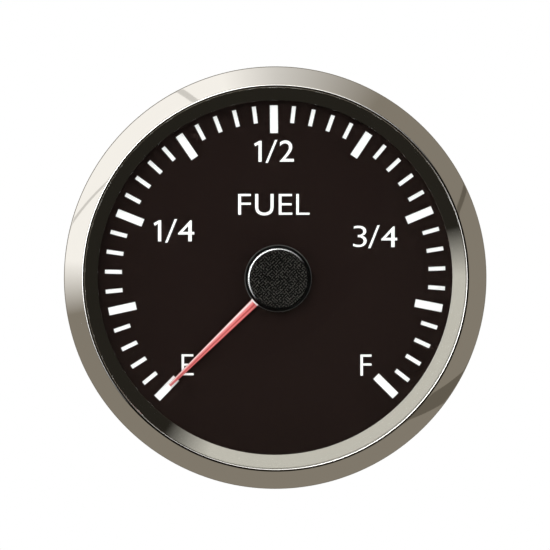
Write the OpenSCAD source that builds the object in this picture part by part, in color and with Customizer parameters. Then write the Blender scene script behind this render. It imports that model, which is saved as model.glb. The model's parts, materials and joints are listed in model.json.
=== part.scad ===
// Panel fuel gauge: crimped steel bezel, stepper movement and rear clamp bracket.
// The gauge is drawn facing +Z, with the panel's front face at z = 0, and then stood up to face -Y.

/* [Bezel and lens] */
// Outside diameter of the bezel
bezel_d = 62; // [60:0.5:66]
// Thickness of the bezel's steel sheet
bezel_sheet = 0.6; // [0.4:0.05:0.8]
// Width of the bezel's sloping face
bezel_face_w = 2.5; // [2:0.1:3]
// Height of the bezel's sloping face
bezel_face_h = 2.1; // [1.4:0.1:2.8]
// Outward bulge of the sloping face
bezel_bulge = 0.12; // [0:0.02:0.2]
// Radius of the bezel's rear corner
bezel_corner = 0.6; // [0.3:0.05:1]
// Flat on top of the rolled rim
rim_flat = 0.05; // [0.05:0.05:0.3]
// Rise of the rim above the lens
rim_rise = 1.15; // [0.9:0.05:1.6]
// Width of the edge crimped behind the case flange
crimp_w = 2; // [1.2:0.1:2.3]
// Thickness of the lens
lens_t = 1.5; // [1:0.1:2.2]
// Thickness of the rubber ring under the lens
lens_gasket_t = 0.5; // [0.3:0.1:1]

/* [Dial] */
// Width of the reflector ring that shows inside the bezel's lip
ring_show_w = 1.8; // [1.4:0.1:2.4]
// Thickness of the white diffuser plate
diffuser_t = 0.8; // [0.5:0.1:1.2]
// Thickness of the black face sheet
mask_t = 0.15; // [0.1:0.05:0.3]
// Height of the reflector ring
ring_h = 3; // [2.6:0.1:4]
// Height of the reflector ring's sloping face
ring_slope_h = 0.8; // [0.6:0.1:1.6]
// Wall of the reflector ring
ring_wall = 0.8; // [0.5:0.1:1]
// Distance from the reflector ring to the scale's outer end
scale_inset = 1.01; // [0.8:0.01:3]
// Sweep of the scale from empty to full, in degrees
scale_sweep = 271; // [180:1:300]
// Number of steps between marks on the scale
scale_steps = 40; // [8:8:80]
// Steps from one long mark to the next
long_every = 5; // [2:1:10]
// Length of a long mark
long_mark_l = 4.1; // [2:0.1:6]
// Width of a long mark
long_mark_w = 1.18; // [0.6:0.02:1.6]
// Length of a short mark
short_mark_l = 2.5; // [1:0.1:4]
// Width of a short mark
short_mark_w = 0.61; // [0.3:0.01:1]
// How far the printed scale sits above the dial's centre
print_up = 0.25; // [-0.5:0.05:0.5]
// How far the printed scale sits to the right of the dial's centre
print_right = 0.05; // [-0.5:0.05:0.5]
// How far the printed scale is turned anticlockwise, in degrees
print_turn = 0.5; // [-2:0.1:2]
// Width of the key at the dial's lower edge
dial_key_w = 2; // [1:0.1:3]

/* [Pointer] */
// How far the spindle sits to the right of the case axis
spindle_x = 0.45; // [-0.6:0.05:0.6]
// How far the spindle sits above the case axis
spindle_y = -0.15; // [-0.6:0.05:0.6]
// Distance from the scale's outer end to the pointer's tip
pointer_inset = 2.64; // [0.6:0.02:8]
// Width of the pointer where it leaves the hub
pointer_root_w = 1.6; // [0.8:0.1:2.2]
// Width of the pointer at its tip
pointer_tip_w = 0.56; // [0.3:0.02:1]
// Height of the ridge at the hub
pointer_root_h = 0.9; // [0.6:0.05:1.1]
// Height of the ridge at the tip
pointer_tip_h = 0.5; // [0.2:0.05:0.8]
// Gap between the dial and the pointer
pointer_gap = 0.6; // [0.3:0.05:0.8]
// Diameter of the hub cap
hub_d = 9.84; // [7:0.02:12]
// Diameter of the hub cap's flat top
hub_top_d = 8.6; // [6:0.1:9.6]
// Height of the hub cap
hub_h = 2.2; // [2:0.05:2.4]
// Wall of the hub cap
hub_wall = 0.55; // [0.4:0.05:0.7]

/* [Case] */
// How far the bezel overhangs the barrel
bezel_lap = 5.6; // [5:0.1:6.2]
// Depth of the barrel behind the panel
barrel_depth = 38; // [36:0.5:46]
// Wall of the barrel
barrel_wall = 1.8; // [1.4:0.1:2]
// Thickness of the rear wall
rear_wall = 1.6; // [1.2:0.1:2.4]
// Chamfer round the barrel's rear edge
barrel_chamfer = 0.8; // [0.4:0.1:1.2]
// Thickness of the flange that carries the dial
flange_t = 1.6; // [1.2:0.1:2.4]
// Wall of the cup round the dial and lens
cup_wall = 0.9; // [0.7:0.1:1.1]
// Thickness of the rubber ring behind the flange
panel_gasket_t = 1.6; // [1.2:0.1:2]
// How far the rubber ring stands proud of the barrel's shoulder
gasket_proud = 0.3; // [0.1:0.05:0.5]

/* [Boards] */
// Thickness of the circuit boards
board_t = 1.6; // [0.8:0.1:2]
// Distance from the dial to the front board
light_depth = 5.6; // [4.6:0.1:6.5]
// Space between the two boards
board_space = 23; // [20:0.5:25]
// Distance from the standoffs to the board's edge
standoff_inset = 4.3; // [3.6:0.1:5]
// Width across flats of the brass standoffs
standoff_af = 4.5; // [4:0.1:5]
// Wall of the white light chamber
chamber_wall = 1.2; // [0.8:0.1:1.6]
// Thickness of the light chamber's floor
chamber_floor = 0.6; // [0.4:0.1:1]
// Number of lamps behind the dial
led_count = 6; // [3:3:6]
// Distance of the lamps from the axis
led_r = 13; // [11:0.5:14]
// Pitch of the pins that join the boards
link_pitch = 2.54; // [2:0.27:2.54]
// Number of pins that join the boards
link_count = 6; // [4:1:6]

/* [Movement] */
// Share of the barrel's bore that the output wheel fills
output_share = 0.38; // [0.34:0.01:0.38]
// Teeth on the output wheel
output_teeth = 120; // [112:8:120]
// Teeth on the intermediate pinion
mid_pinion_teeth = 8; // [8:1:10]
// Share of the barrel's bore that the intermediate wheel fills
mid_share = 0.285; // [0.27:0.005:0.285]
// Teeth on the intermediate wheel
mid_wheel_teeth = 96; // [88:8:96]
// Teeth on the rotor pinion
rotor_teeth = 8; // [8:1:10]
// Share of the pitch that a tooth fills
tooth_share = 0.42; // [0.36:0.01:0.44]
// Thickness of the output wheel
output_wheel_t = 0.9; // [0.6:0.1:1]
// Thickness of the intermediate wheel
mid_wheel_t = 0.8; // [0.5:0.1:1]
// Radius of the spindle
spindle_r = 0.75; // [0.5:0.05:0.9]
// Radius of the fine pivots
pivot_r = 0.3; // [0.25:0.01:0.32]
// Running clearance of every shaft in its bearing
run_gap = 0.03; // [0.02:0.005:0.05]
// Share of the housing's half width that the rotor magnet fills
magnet_share = 0.2; // [0.16:0.01:0.21]
// Height of the rotor magnet
magnet_h = 3; // [2:0.1:3.2]
// Air gap between the magnet and the stator
air_gap = 0.3; // [0.2:0.05:0.4]
// Width of the stator ring
stator_ring_w = 1.2; // [0.8:0.1:1.3]
// Thickness of the stator core
stator_t = 1; // [0.6:0.1:1.2]
// Radius of a winding
winding_r = 1.9; // [1.4:0.1:1.9]
// Share of the barrel's bore that the motor housing's width fills
motor_share = 0.483; // [0.45:0.001:0.483]
// Wall of the motor housing
motor_wall = 1; // [0.8:0.1:1.2]
// Height of the space inside the motor housing
motor_space = 7.6; // [7.6:0.1:8.2]

/* [Connector] */
// Width inside the socket
socket_w = 14.4; // [12:0.2:15]
// Height inside the socket
socket_h = 7.6; // [6.6:0.2:8]
// Wall of the socket
socket_wall = 1.7; // [1.2:0.1:2]
// Length of the socket behind the case
socket_l = 11; // [10.5:0.5:13]
// Free depth of the socket past the pin tips
socket_free = 5; // [4.6:0.1:5.6]
// Pitch of the connector pins
pin_pitch = 3.3; // [2.8:0.1:3.4]
// Number of connector pins
pin_count = 4; // [2:1:4]
// Thickness of the square connector pins
pin_w = 0.8; // [0.6:0.05:1]

/* [Bracket and studs] */
// Thickness of the panel that the bracket is set for
panel_t = 3; // [1:0.5:6]
// Distance from each stud's axis to the outside of the barrel
stud_inset = 6.4; // [5.4:0.1:7.4]
// Radius of a stud
stud_r = 1.94; // [1.9:0.01:1.97]
// Length of a stud behind the case
stud_l = 20; // [18:0.5:26]
// Thickness of the bracket's strip
bracket_t = 1.2; // [1:0.1:1.5]
// Width of the bracket's strip
bracket_w = 14; // [12:0.5:18]
// Space between the case and the bracket's crossbar
bracket_space = 5; // [4.5:0.25:8]
// Inside radius of the bracket's bends
bracket_bend = 1.8; // [1:0.1:3]
// Gap between the barrel and a bracket leg
leg_gap = 1.8; // [1:0.1:3]
// Space between the socket's corners and the bracket's central ring
ring_space = 2.04; // [1.8:0.02:2.6]
// Width of the bracket's central ring
ring_band = 4; // [3:0.25:5]
// Radius of the knurled nuts
nut_r = 5.2; // [4.6:0.1:5.4]
// Height of the knurled nuts
nut_h = 6; // [4:0.5:7]
// Number of knurls on a nut
knurl_count = 24; // [16:2:32]
// Thickness of the flat washers
flat_washer_t = 0.8; // [0.5:0.1:1.2]
// Thickness of the spring washers
spring_washer_t = 1; // [0.7:0.1:1.2]

/* [Hidden] */
$fn = 96;

// Clearances between pieces of one assembly
bezel_gap = 0.2;
lens_gap = 0.3;
seat_gap = 0.1;
press_gap = 0.02;
cut = 0.01;

// Heights along the axis, from the panel's front face
flange_z = panel_gasket_t;
dial_z = flange_z + flange_t;
mask_z = dial_z + diffuser_t;
dial_top_z = mask_z + mask_t;
ring_top_z = dial_top_z + ring_h;
lens_z = ring_top_z + lens_gasket_t;
lens_top_z = lens_z + lens_t;
rim_z = lens_top_z + rim_rise;
front_board_z = dial_z - light_depth - board_t;
rear_board_z = front_board_z - board_space - board_t;
rear_z = -barrel_depth;
rear_in_z = rear_z + rear_wall;

// Radii of the front
bezel_r = bezel_d / 2;
rim_r = bezel_r - bezel_face_w;
lip_r = rim_r - bezel_sheet - rim_flat;
shoulder_z = rim_z - bezel_face_h;
face_l = norm([bezel_face_w, bezel_face_h]);
skirt_in_r = bezel_r - bezel_sheet;
cup_r = skirt_in_r - bezel_gap;
cup_in_r = cup_r - cup_wall;
crimp_r = bezel_r - crimp_w;
lens_r = min(cup_in_r - lens_gap, slope_in_r(lens_top_z) - seat_gap);
plate_r = cup_in_r - lens_gap - seat_gap;
ring_top_r = lip_r - bezel_gap;
ring_show_r = lip_r - ring_show_w;
scale_r = ring_show_r - scale_inset;
key_r = plate_r - 0.6;
key_sink = 0.2;
dial_hole_gap = 0.6;

// Radii of the case and boards
board_slack = 0.7;
barrel_r = bezel_r - bezel_lap;
bore_r = barrel_r - barrel_wall;
shoulder_r = barrel_r + 0.9;
gasket_in_r = shoulder_r + seat_gap;
gasket_out_r = crimp_r - bezel_gap - seat_gap;
board_r = bore_r - board_slack;
chamber_r = board_r - lens_gap;
standoff_r = board_r - standoff_inset;
standoff_out_r = standoff_af / 2 / cos(30);
screw_r = 1.2;
screw_head_r = 2.1;
screw_head_h = 1.3;
boss_r = 3;
standoff_count = 3;
thread_gap = 0.15;
board_screw_l = 3;
standoff_screw_l = 4;
screw_slot = 0.6;

// Row of pins between the boards
link_gap = 0.85;
link_pin_w = 0.64;
link_strip_h = 2.5;
link_y = standoff_r - standoff_out_r - link_gap - link_strip_h / 2;

// Lamps, and what is soldered to the rear board, with each place as [x, y]
led_size = [2.8, 3.5, 0.9];
led_dome_r = 1.2;
led_dome_h = 1.3;
part_gap = 0.5;
part_x = standoff_r * cos(30) - standoff_out_r - part_gap;
chip_w = 7;
chip_h = 1.4;
chip_lead_l = 0.9;
chip_lead_pitch = 0.8;
chip_lead_w = 0.3;
chip_stand = 0.1;
chip_at = [chip_w / 2 + chip_lead_l - part_x, -0.35 * board_r];
regulator_size = [6.5, 6, 2.3];
regulator_at = [part_x - regulator_size[0] / 2, -0.35 * board_r];
capacitor_at = [0.4 * board_r, 0.18 * board_r];
capacitor_base = 6.6;
capacitor_r = 3.1;
capacitor_h = 7.1;
diode_at = [-0.4 * board_r, 0.18 * board_r];
diode_size = [4.3, 2.6, 2];
resistor_at = [0, -0.7 * board_r];
resistor_size = [1.2, 2, 0.55];
resistor_count = 6;
resistor_pitch = 2;
lead_t = 0.5;

// Pointer
empty_angle = 90 + scale_sweep / 2 + print_turn;
empty_mark = [print_right, print_up] + (scale_r - long_mark_l) * [cos(empty_angle), sin(empty_angle)];
pointer_angle = atan2(empty_mark[1] - spindle_y, empty_mark[0] - spindle_x);
pointer_z = dial_top_z + pointer_gap;
pointer_l = scale_r - pointer_inset;
hub_r = hub_d / 2;
hub_drop = 0.15;
hub_z = pointer_z - hub_drop;
hub_top_z = hub_z + hub_h;
hub_top_t = 0.6;
disc_h = 0.85;
disc_r = hub_r - hub_wall - seat_gap;
collar_r = 1.6;

// Gear train, seen from the front, with the spindle at its origin
output_wheel_r = bore_r * output_share;
mid_wheel_r = bore_r * mid_share;
slow_module = 2 * output_wheel_r / output_teeth;
fast_module = 2 * mid_wheel_r / mid_wheel_teeth;
slow_centre = output_wheel_r + slow_module * mid_pinion_teeth / 2;
fast_centre = mid_wheel_r + fast_module * rotor_teeth / 2;
rotor_turn = 215;
mid_at = [0, -slow_centre];
rotor_at = mid_at + fast_centre * [cos(rotor_turn), sin(rotor_turn)];
addendum = 0.8;
dedendum = 1.15;
pressure = 20;
arbor_r = 0.35;
collet_r = 1;
pinion_over = 0.2;
rim_w = 0.9;
spoke_gap = 0.9;
shoulder_gap = 0.3;

// Heights in the movement, which hangs behind the front board
cover_t = 1.2;
cover_z = front_board_z - cover_t;
floor_z = cover_z - motor_space;
motor_z = floor_z - motor_wall;
wheel_gap = 0.4;
end_gap = 0.6;
output_wheel_z = cover_z - end_gap - output_wheel_t;
mid_wheel_z = output_wheel_z - wheel_gap - mid_wheel_t;
magnet_z = floor_z + end_gap;
stator_z = magnet_z + (magnet_h - stator_t) / 2;
coil_z = stator_z + stator_t / 2;
pivot_depth = 0.6;
pivot_end = 0.1;
bush_r = 2.4;
bush_h = 3.4;

// Outline of the motor housing
motor_half = bore_r * motor_share;
magnet_r = motor_half * magnet_share;
motor_slack = 0.5;
motor_top = output_wheel_r + motor_slack + motor_wall;
motor_low = rotor_at[1] - magnet_r - air_gap - stator_ring_w - motor_slack - motor_wall;
motor_corner = 1.6;

// Coils, lying side by side to the right of the rotor
leg_w = 1.2;
leg_x = 1.2;
flange_w = 0.6;
flange_side = 2 * winding_r + 0.2;
block_w = 1.6;
bobbin_core_r = 1.1;
bobbin_slack = 0.05;
stator_slot = 0.5;
yoke_gap = 0.3;
coil_end = motor_half - motor_wall - yoke_gap - leg_w - yoke_gap;
winding_l = coil_end - block_w - flange_w - leg_x;
upper_leg_up = 2.78;
lower_leg_down = 1.82;
upper_leg_y = rotor_at[1] + upper_leg_up;
lower_leg_y = rotor_at[1] - lower_leg_down;
motor_pin_r = 0.25;
motor_pin_y = 1.3;

// Connector and bracket
pin_tip_z = rear_z - socket_l + socket_free;
seal_t = 0.6;
socket_flange_t = 1.2;
socket_flange_w = 1.6;
latch_w = 5;
latch_h = 1;
crossbar_z = rear_z - bracket_space - bracket_t;
stud_x = barrel_r - stud_inset;
ring_hole_r = norm([socket_w / 2 + socket_wall, socket_h / 2 + socket_wall]) + ring_space;
leg_in_x = barrel_r + leg_gap;
leg_out_x = leg_in_x + bracket_t;
stud_hole_r = stud_r + 0.26;
stud_boss_r = 4;
stud_boss_h = 1.2;
stud_head_r = 3.2;
stud_head_h = 1.2;
washer_r = 4.5;
washer_hole_r = stud_r + 0.21;
spring_r = 3.5;
spring_split = 0.6;
nut_gap = 0.06;
nut_collar_r = 4.2;
nut_collar_h = 1.4;
flat_washer_z = crossbar_z - flat_washer_t;
spring_washer_z = flat_washer_z - spring_washer_t;
nut_z = spring_washer_z - nut_h;

// Radius of the inside of the bezel's sloping wall at a height
function slope_in_r(z) = bezel_r + (-bezel_sheet * face_l - (z - shoulder_z) * bezel_face_w) / bezel_face_h;

// Height of the inside of the bezel's sloping wall at a radius
function slope_in_z(r) = shoulder_z + (-bezel_sheet * face_l - (r - bezel_r) * bezel_face_h) / bezel_face_w;

// Points along an arc
function arc(centre, r, from, to, steps) = [
    for (i = [0 : steps])
    let (a = from + (to - from) * i / steps)
    centre + r * [cos(a), sin(a)]
];

// Involute function, in degrees
function involute(a) = tan(a) * 180 / PI - a;

// Half the angle that a tooth fills at radius r
function half_tooth(teeth, pitch_r, r) =
    let (base_r = pitch_r * cos(pressure))
    180 / teeth * tooth_share + involute(pressure) - (r > base_r ? involute(acos(base_r / r)) : 0);

// Outline of a gear, from the root to the tip of each flank
function gear_outline(teeth, size, flank_steps) =
    let (pitch_r = teeth * size / 2, root_r = pitch_r - dedendum * size, tip_r = pitch_r + addendum * size)
    [
        for (i = [0 : teeth - 1])
        for (side = [-1, 1])
        for (k = [0 : flank_steps])
        let (share = side < 0 ? k / flank_steps : 1 - k / flank_steps)
        let (r = root_r + (tip_r - root_r) * share)
        let (a = 360 / teeth * i + side * half_tooth(teeth, pitch_r, r))
        r * [cos(a), sin(a)]
    ];

// Stands the gauge up, so that it faces -Y with the top of the dial at +Z
module stand() {
    rotate([90, 0, 0]) children();
}

module at_spindle() {
    translate([spindle_x, spindle_y, 0]) children();
}

// Tube or disc between two heights
module tube(r, z, h, hole = 0) {
    translate([0, 0, z]) difference() {
        cylinder(r = r, h = h);
        if (hole > 0) translate([0, 0, -1]) cylinder(r = hole, h = h + 2);
    }
}

// Block centred on a point, from one height up
module block(w, d, z, h, at = [0, 0]) {
    translate([at[0] - w / 2, at[1] - d / 2, z]) cube([w, d, h]);
}

module rounded_rect(x0, y0, x1, y1, r) {
    translate([x0 + r, y0]) square([x1 - x0 - 2 * r, y1 - y0]);
    translate([x0, y0 + r]) square([x1 - x0, y1 - y0 - 2 * r]);
    for (x = [x0 + r, x1 - r], y = [y0 + r, y1 - r]) translate([x, y]) circle(r = r, $fn = 48);
}

module at_standoffs() {
    for (i = [0 : standoff_count - 1]) rotate([0, 0, 90 + 360 / standoff_count * i])
        translate([standoff_r, 0, 0]) children();
}

module at_studs() {
    for (side = [-1, 1]) translate([side * stud_x, 0, 0]) children();
}

module bezel() {
    slope = [-bezel_face_w, bezel_face_h];
    outward = [bezel_face_h, bezel_face_w] / face_l;
    face = [
        for (i = [0 : 8])
        let (t = i / 8)
        [bezel_r, shoulder_z] + slope * t + outward * 4 * bezel_bulge * t * (1 - t)
    ];
    rear_z0 = flange_z - bezel_sheet;
    outline = concat(
        [[crimp_r, rear_z0]],
        arc([bezel_r - bezel_corner, rear_z0 + bezel_corner], bezel_corner, -90, 0, 6),
        face,
        arc([rim_r, rim_z - (rim_r - lip_r)], rim_r - lip_r, 100, 180, 8),
        [
            [lip_r, lens_top_z],
            [lip_r + bezel_sheet, lens_top_z],
            [lip_r + bezel_sheet, slope_in_z(lip_r + bezel_sheet)],
            [skirt_in_r, slope_in_z(skirt_in_r)],
            [skirt_in_r, flange_z],
            [crimp_r, flange_z]
        ]
    );
    color("silver") stand() rotate_extrude($fn = 180) polygon(outline);
}

module lens() {
    color("lightcyan", 0.3) stand() tube(lens_r, lens_z, lens_t);
}

module lens_gasket() {
    color("black") stand() tube(lens_r, ring_top_z, lens_gasket_t, ring_top_r + 0.05);
}

module reflector_ring() {
    slope_z = ring_top_z - ring_slope_h;
    slope = ring_slope_h / (ring_top_r - ring_show_r);
    color("gainsboro") stand() rotate_extrude($fn = 180) polygon([
        [ring_show_r, dial_top_z],
        [plate_r - ring_wall, dial_top_z],
        [plate_r - ring_wall, dial_top_z + ring_wall],
        [ring_show_r + ring_wall, dial_top_z + ring_wall],
        [ring_show_r + ring_wall, slope_z + (slope - 1) * ring_wall],
        [ring_top_r, ring_top_z - ring_wall],
        [plate_r, ring_top_z - ring_wall],
        [plate_r, ring_top_z],
        [ring_top_r, ring_top_z],
        [ring_show_r, slope_z]
    ]);
}

// A dial sheet with its spindle hole and key notch
module dial_sheet(z, t) {
    difference() {
        tube(plate_r, z, t);
        at_spindle() translate([0, 0, z - 1]) cylinder(r = spindle_r + dial_hole_gap, h = t + 2);
        block(dial_key_w + 2 * seat_gap, 2 * (plate_r - key_r), z - 1, t + 2, [0, -plate_r]);
    }
}

module dial_mask() {
    color("#211816") stand() difference() {
        dial_sheet(mask_z, mask_t);
        translate([print_right, print_up, mask_z - 1])
            for (i = [0 : scale_steps]) {
                long = i % long_every == 0;
                l = long ? long_mark_l : short_mark_l;
                w = long ? long_mark_w : short_mark_w;
                rotate([0, 0, empty_angle - scale_sweep * i / scale_steps])
                    translate([scale_r - l, -w / 2, 0]) cube([l, w, mask_t + 2]);
            }
    }
}

module dial_diffuser() {
    color("white") stand() dial_sheet(dial_z, diffuser_t);
}

// One cross-section of the pointer's ridged arm, as a thin slice
module arm_slice(w, h) {
    rotate([90, 0, 90]) linear_extrude(cut) polygon([
        [-w / 2, 0],
        [w / 2, 0],
        [w / 2, h * 0.4],
        [w * 0.08, h],
        [-w * 0.08, h],
        [-w / 2, h * 0.4]
    ]);
}

module pointer() {
    color([0.9, 0.15, 0.2, 0.8]) stand() at_spindle() difference() {
        union() {
            tube(disc_r, pointer_z, disc_h);
            tube(collar_r, pointer_z, hub_top_z - hub_top_t - pointer_z);
            rotate([0, 0, pointer_angle]) translate([0, 0, pointer_z]) hull() {
                translate([disc_r - 1, 0, 0]) arm_slice(pointer_root_w, pointer_root_h);
                translate([pointer_l - cut, 0, 0]) arm_slice(pointer_tip_w, pointer_tip_h);
            }
        }
        tube(spindle_r + press_gap, pointer_z - 1, hub_h + 2);
    }
}

module pointer_hub() {
    bevel = hub_r - hub_top_d / 2;
    color("#111111") stand() at_spindle() difference() {
        rotate_extrude() polygon(concat(
            [[0, hub_z], [hub_r, hub_z], [hub_r - 0.08, hub_top_z - bevel]],
            arc([hub_r - 0.08 - bevel, hub_top_z - bevel], bevel, 20, 90, 5),
            [[0, hub_top_z]]
        ));
        tube(hub_r - hub_wall, hub_z - 1, 1 + hub_h - hub_top_t);
        rotate([0, 0, pointer_angle])
            translate([disc_r - 1, -pointer_root_w / 2 - seat_gap, hub_z - 1])
            cube([hub_r, pointer_root_w + 2 * seat_gap, 1 + pointer_z - hub_z + pointer_root_h + seat_gap]);
    }
}

// Five lightening holes between a wheel's hub and its rim
module spoke_holes(hub, rim, z) {
    for (i = [0 : 4]) rotate([0, 0, 72 * i]) translate([(hub + rim) / 2, 0, z])
        cylinder(r = (rim - hub) / 2 - spoke_gap, h = 3);
}

// Thin arbor with a fine pivot at each end, from the housing's floor to its cover
module arbor() {
    tube(arbor_r, floor_z + shoulder_gap, cover_z - floor_z - 2 * shoulder_gap);
    tube(pivot_r, floor_z - pivot_depth + pivot_end, cover_z - floor_z + 2 * (pivot_depth - pivot_end));
}

module output_shaft() {
    low = floor_z - pivot_depth + pivot_end;
    color("lightsteelblue") stand() at_spindle() tube(spindle_r, low, hub_top_z - hub_top_t - pivot_end - low);
}

module output_gear() {
    color("ivory") stand() at_spindle() difference() {
        union() {
            rotate([0, 0, -90]) translate([0, 0, output_wheel_z])
                linear_extrude(output_wheel_t) polygon(gear_outline(output_teeth, slow_module, 2));
            tube(collar_r, output_wheel_z - wheel_gap, output_wheel_t + 2 * wheel_gap);
        }
        tube(spindle_r + press_gap, output_wheel_z - 1, output_wheel_t + 2);
        spoke_holes(collar_r, output_wheel_r - rim_w, output_wheel_z - 1);
    }
}

module intermediate_gear() {
    color("ivory") stand() at_spindle() translate(mid_at) difference() {
        union() {
            rotate([0, 0, 90 + 180 / mid_pinion_teeth]) translate([0, 0, mid_wheel_z])
                linear_extrude(cover_z - shoulder_gap - mid_wheel_z)
                polygon(gear_outline(mid_pinion_teeth, slow_module, 4));
            rotate([0, 0, rotor_turn]) translate([0, 0, mid_wheel_z])
                linear_extrude(mid_wheel_t) polygon(gear_outline(mid_wheel_teeth, fast_module, 2));
            arbor();
        }
        spoke_holes(mid_pinion_teeth * slow_module, mid_wheel_r - rim_w, mid_wheel_z - 1);
    }
}

module rotor_pinion() {
    color("ivory") stand() at_spindle() translate(rotor_at) union() {
        rotate([0, 0, rotor_turn + 180 + 180 / rotor_teeth]) translate([0, 0, mid_wheel_z - pinion_over])
            linear_extrude(mid_wheel_t + 2 * pinion_over) polygon(gear_outline(rotor_teeth, fast_module, 4));
        arbor();
        tube(collet_r, magnet_z + magnet_h, mid_wheel_z - pinion_over - magnet_z - magnet_h + cut);
    }
}

module rotor_magnet() {
    color("dimgray") stand() at_spindle() translate(rotor_at)
        tube(magnet_r, magnet_z, magnet_h, arbor_r + press_gap);
}

// Outline of the motor housing, taken in by a distance
module motor_outline(inset = 0) {
    half = motor_half - inset;
    rounded_rect(-half, motor_low + inset, half, motor_top - inset, motor_corner - inset / 2);
}

module motor_pegs(r) {
    for (side = [-1, 1]) translate([side * (motor_half - 2), motor_top - 2, 0])
        tube(r, front_board_z - cut, board_t + cut);
}

module at_motor_pins() {
    for (y = [upper_leg_y, lower_leg_y], side = [-1, 1])
        translate([coil_end - block_w / 2, y + side * motor_pin_y, 0]) children();
}

module motor_cover() {
    color("#d8d4c8") stand() at_spindle() difference() {
        union() {
            translate([0, 0, cover_z]) linear_extrude(cover_t) motor_outline();
            tube(bush_r, cover_z, cover_t + bush_h);
            motor_pegs(0.9);
        }
        tube(spindle_r + run_gap, cover_z - 1, cover_t + bush_h + 2);
        for (at = [mid_at, rotor_at]) translate(at) tube(pivot_r + run_gap, cover_z - 1, 1 + pivot_depth);
        at_motor_pins() tube(motor_pin_r + press_gap, cover_z - 1, cover_t + 2);
    }
}

module motor_housing() {
    color("#3a3a3c") stand() at_spindle() difference() {
        translate([0, 0, motor_z]) linear_extrude(cover_z - motor_z) motor_outline();
        translate([0, 0, floor_z]) linear_extrude(motor_space + 1) motor_outline(motor_wall);
        for (at = [mid_at, rotor_at]) translate(at)
            tube(pivot_r + run_gap, floor_z - pivot_depth, pivot_depth + 1);
        tube(spindle_r + run_gap, floor_z - pivot_depth, pivot_depth + 1);
    }
}

module stator_core() {
    ring_in = magnet_r + air_gap;
    color("slategray") stand() at_spindle() difference() {
        union() {
            translate(rotor_at) tube(ring_in + stator_ring_w, stator_z, stator_t);
            for (y = [upper_leg_y, lower_leg_y]) translate([rotor_at[0] + magnet_r, y - leg_w / 2, stator_z])
                cube([coil_end + yoke_gap + leg_w - rotor_at[0] - magnet_r, leg_w, stator_t]);
            translate([coil_end + yoke_gap, lower_leg_y - leg_w / 2, stator_z])
                cube([leg_w, upper_leg_y - lower_leg_y + leg_w, stator_t]);
        }
        translate(rotor_at) tube(ring_in, stator_z - 1, stator_t + 2);
        translate(rotor_at) rotate([0, 0, 135]) translate([0, -stator_slot / 2, stator_z - 1])
            cube([ring_in + 3, stator_slot, stator_t + 2]);
    }
}

module coil_bobbins() {
    color("white") stand() at_spindle() for (y = [upper_leg_y, lower_leg_y]) difference() {
        union() {
            block(flange_w, flange_side, coil_z - flange_side / 2, flange_side, [leg_x + flange_w / 2, y]);
            block(block_w, flange_side, coil_z - flange_side / 2, flange_side, [coil_end - block_w / 2, y]);
            translate([leg_x, y, coil_z]) rotate([0, 90, 0])
                cylinder(r = bobbin_core_r, h = coil_end - leg_x - cut);
        }
        block(coil_end, leg_w + 2 * bobbin_slack, stator_z - bobbin_slack, stator_t + 2 * bobbin_slack,
            [leg_x + coil_end / 2 - 1, y]);
        for (side = [-1, 1]) translate([coil_end - block_w / 2, y + side * motor_pin_y, 0])
            tube(motor_pin_r + press_gap, coil_z + stator_t, flange_side);
    }
}

module coil_windings() {
    color("#b5652b") stand() at_spindle() for (y = [upper_leg_y, lower_leg_y])
        translate([leg_x + flange_w, y, coil_z]) rotate([0, 90, 0]) difference() {
            cylinder(r = winding_r, h = winding_l);
            translate([0, 0, -1]) cylinder(r = bobbin_core_r + press_gap, h = winding_l + 2);
        }
}

module motor_pins() {
    foot = coil_z + stator_t;
    color("gold") stand() at_spindle() at_motor_pins() tube(motor_pin_r, foot, front_board_z + board_t - foot);
}

module at_leds() {
    for (i = [0 : led_count - 1])
        rotate([0, 0, 360 / led_count * i]) translate([led_r, 0, 0]) children();
}

module light_chamber() {
    floor_at = front_board_z + board_t;
    sleeve_r = bush_r + 0.4;
    color("white") stand() difference() {
        tube(chamber_r, floor_at, light_depth);
        difference() {
            tube(chamber_r - chamber_wall, floor_at + chamber_floor, light_depth);
            at_spindle() tube(sleeve_r + chamber_wall, floor_at, light_depth + 1);
        }
        at_spindle() tube(sleeve_r, floor_at - 1, light_depth + 2);
        at_leds() tube(2.4, floor_at - 1, chamber_floor + 2);
        at_standoffs() tube(screw_head_r + 0.4, floor_at - 1, chamber_floor + 2);
    }
}

module leds() {
    color("lightyellow") stand() at_leds() union() {
        block(led_size[0], led_size[1], front_board_z + board_t, led_size[2]);
        tube(led_dome_r, front_board_z + board_t, led_dome_h);
    }
}

// A round board with its standoff holes
module board(z) {
    difference() {
        tube(board_r, z, board_t);
        at_standoffs() tube(screw_r + thread_gap, z - 1, board_t + 2);
        at_link_pins() block(link_pin_w + 0.2, link_pin_w + 0.2, z - 1, board_t + 2);
    }
}

module at_link_pins() {
    for (i = [0 : link_count - 1])
        translate([(i - (link_count - 1) / 2) * link_pitch, link_y, 0]) children();
}

module front_board() {
    color("darkgreen") stand() difference() {
        board(front_board_z);
        at_spindle() {
            tube(bush_r + seat_gap, front_board_z - 1, board_t + 2);
            motor_pegs(0.9 + seat_gap);
            at_motor_pins() tube(motor_pin_r + seat_gap, front_board_z - 1, board_t + 2);
        }
    }
}

module board_screws() {
    color("silver") stand() at_standoffs() difference() {
        union() {
            tube(screw_head_r, front_board_z + board_t, screw_head_h);
            tube(screw_r, front_board_z - board_screw_l, board_screw_l + board_t);
        }
        block(3, screw_slot, front_board_z + board_t + screw_head_h / 2, screw_head_h);
        block(screw_slot, 3, front_board_z + board_t + screw_head_h / 2, screw_head_h);
    }
}

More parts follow.
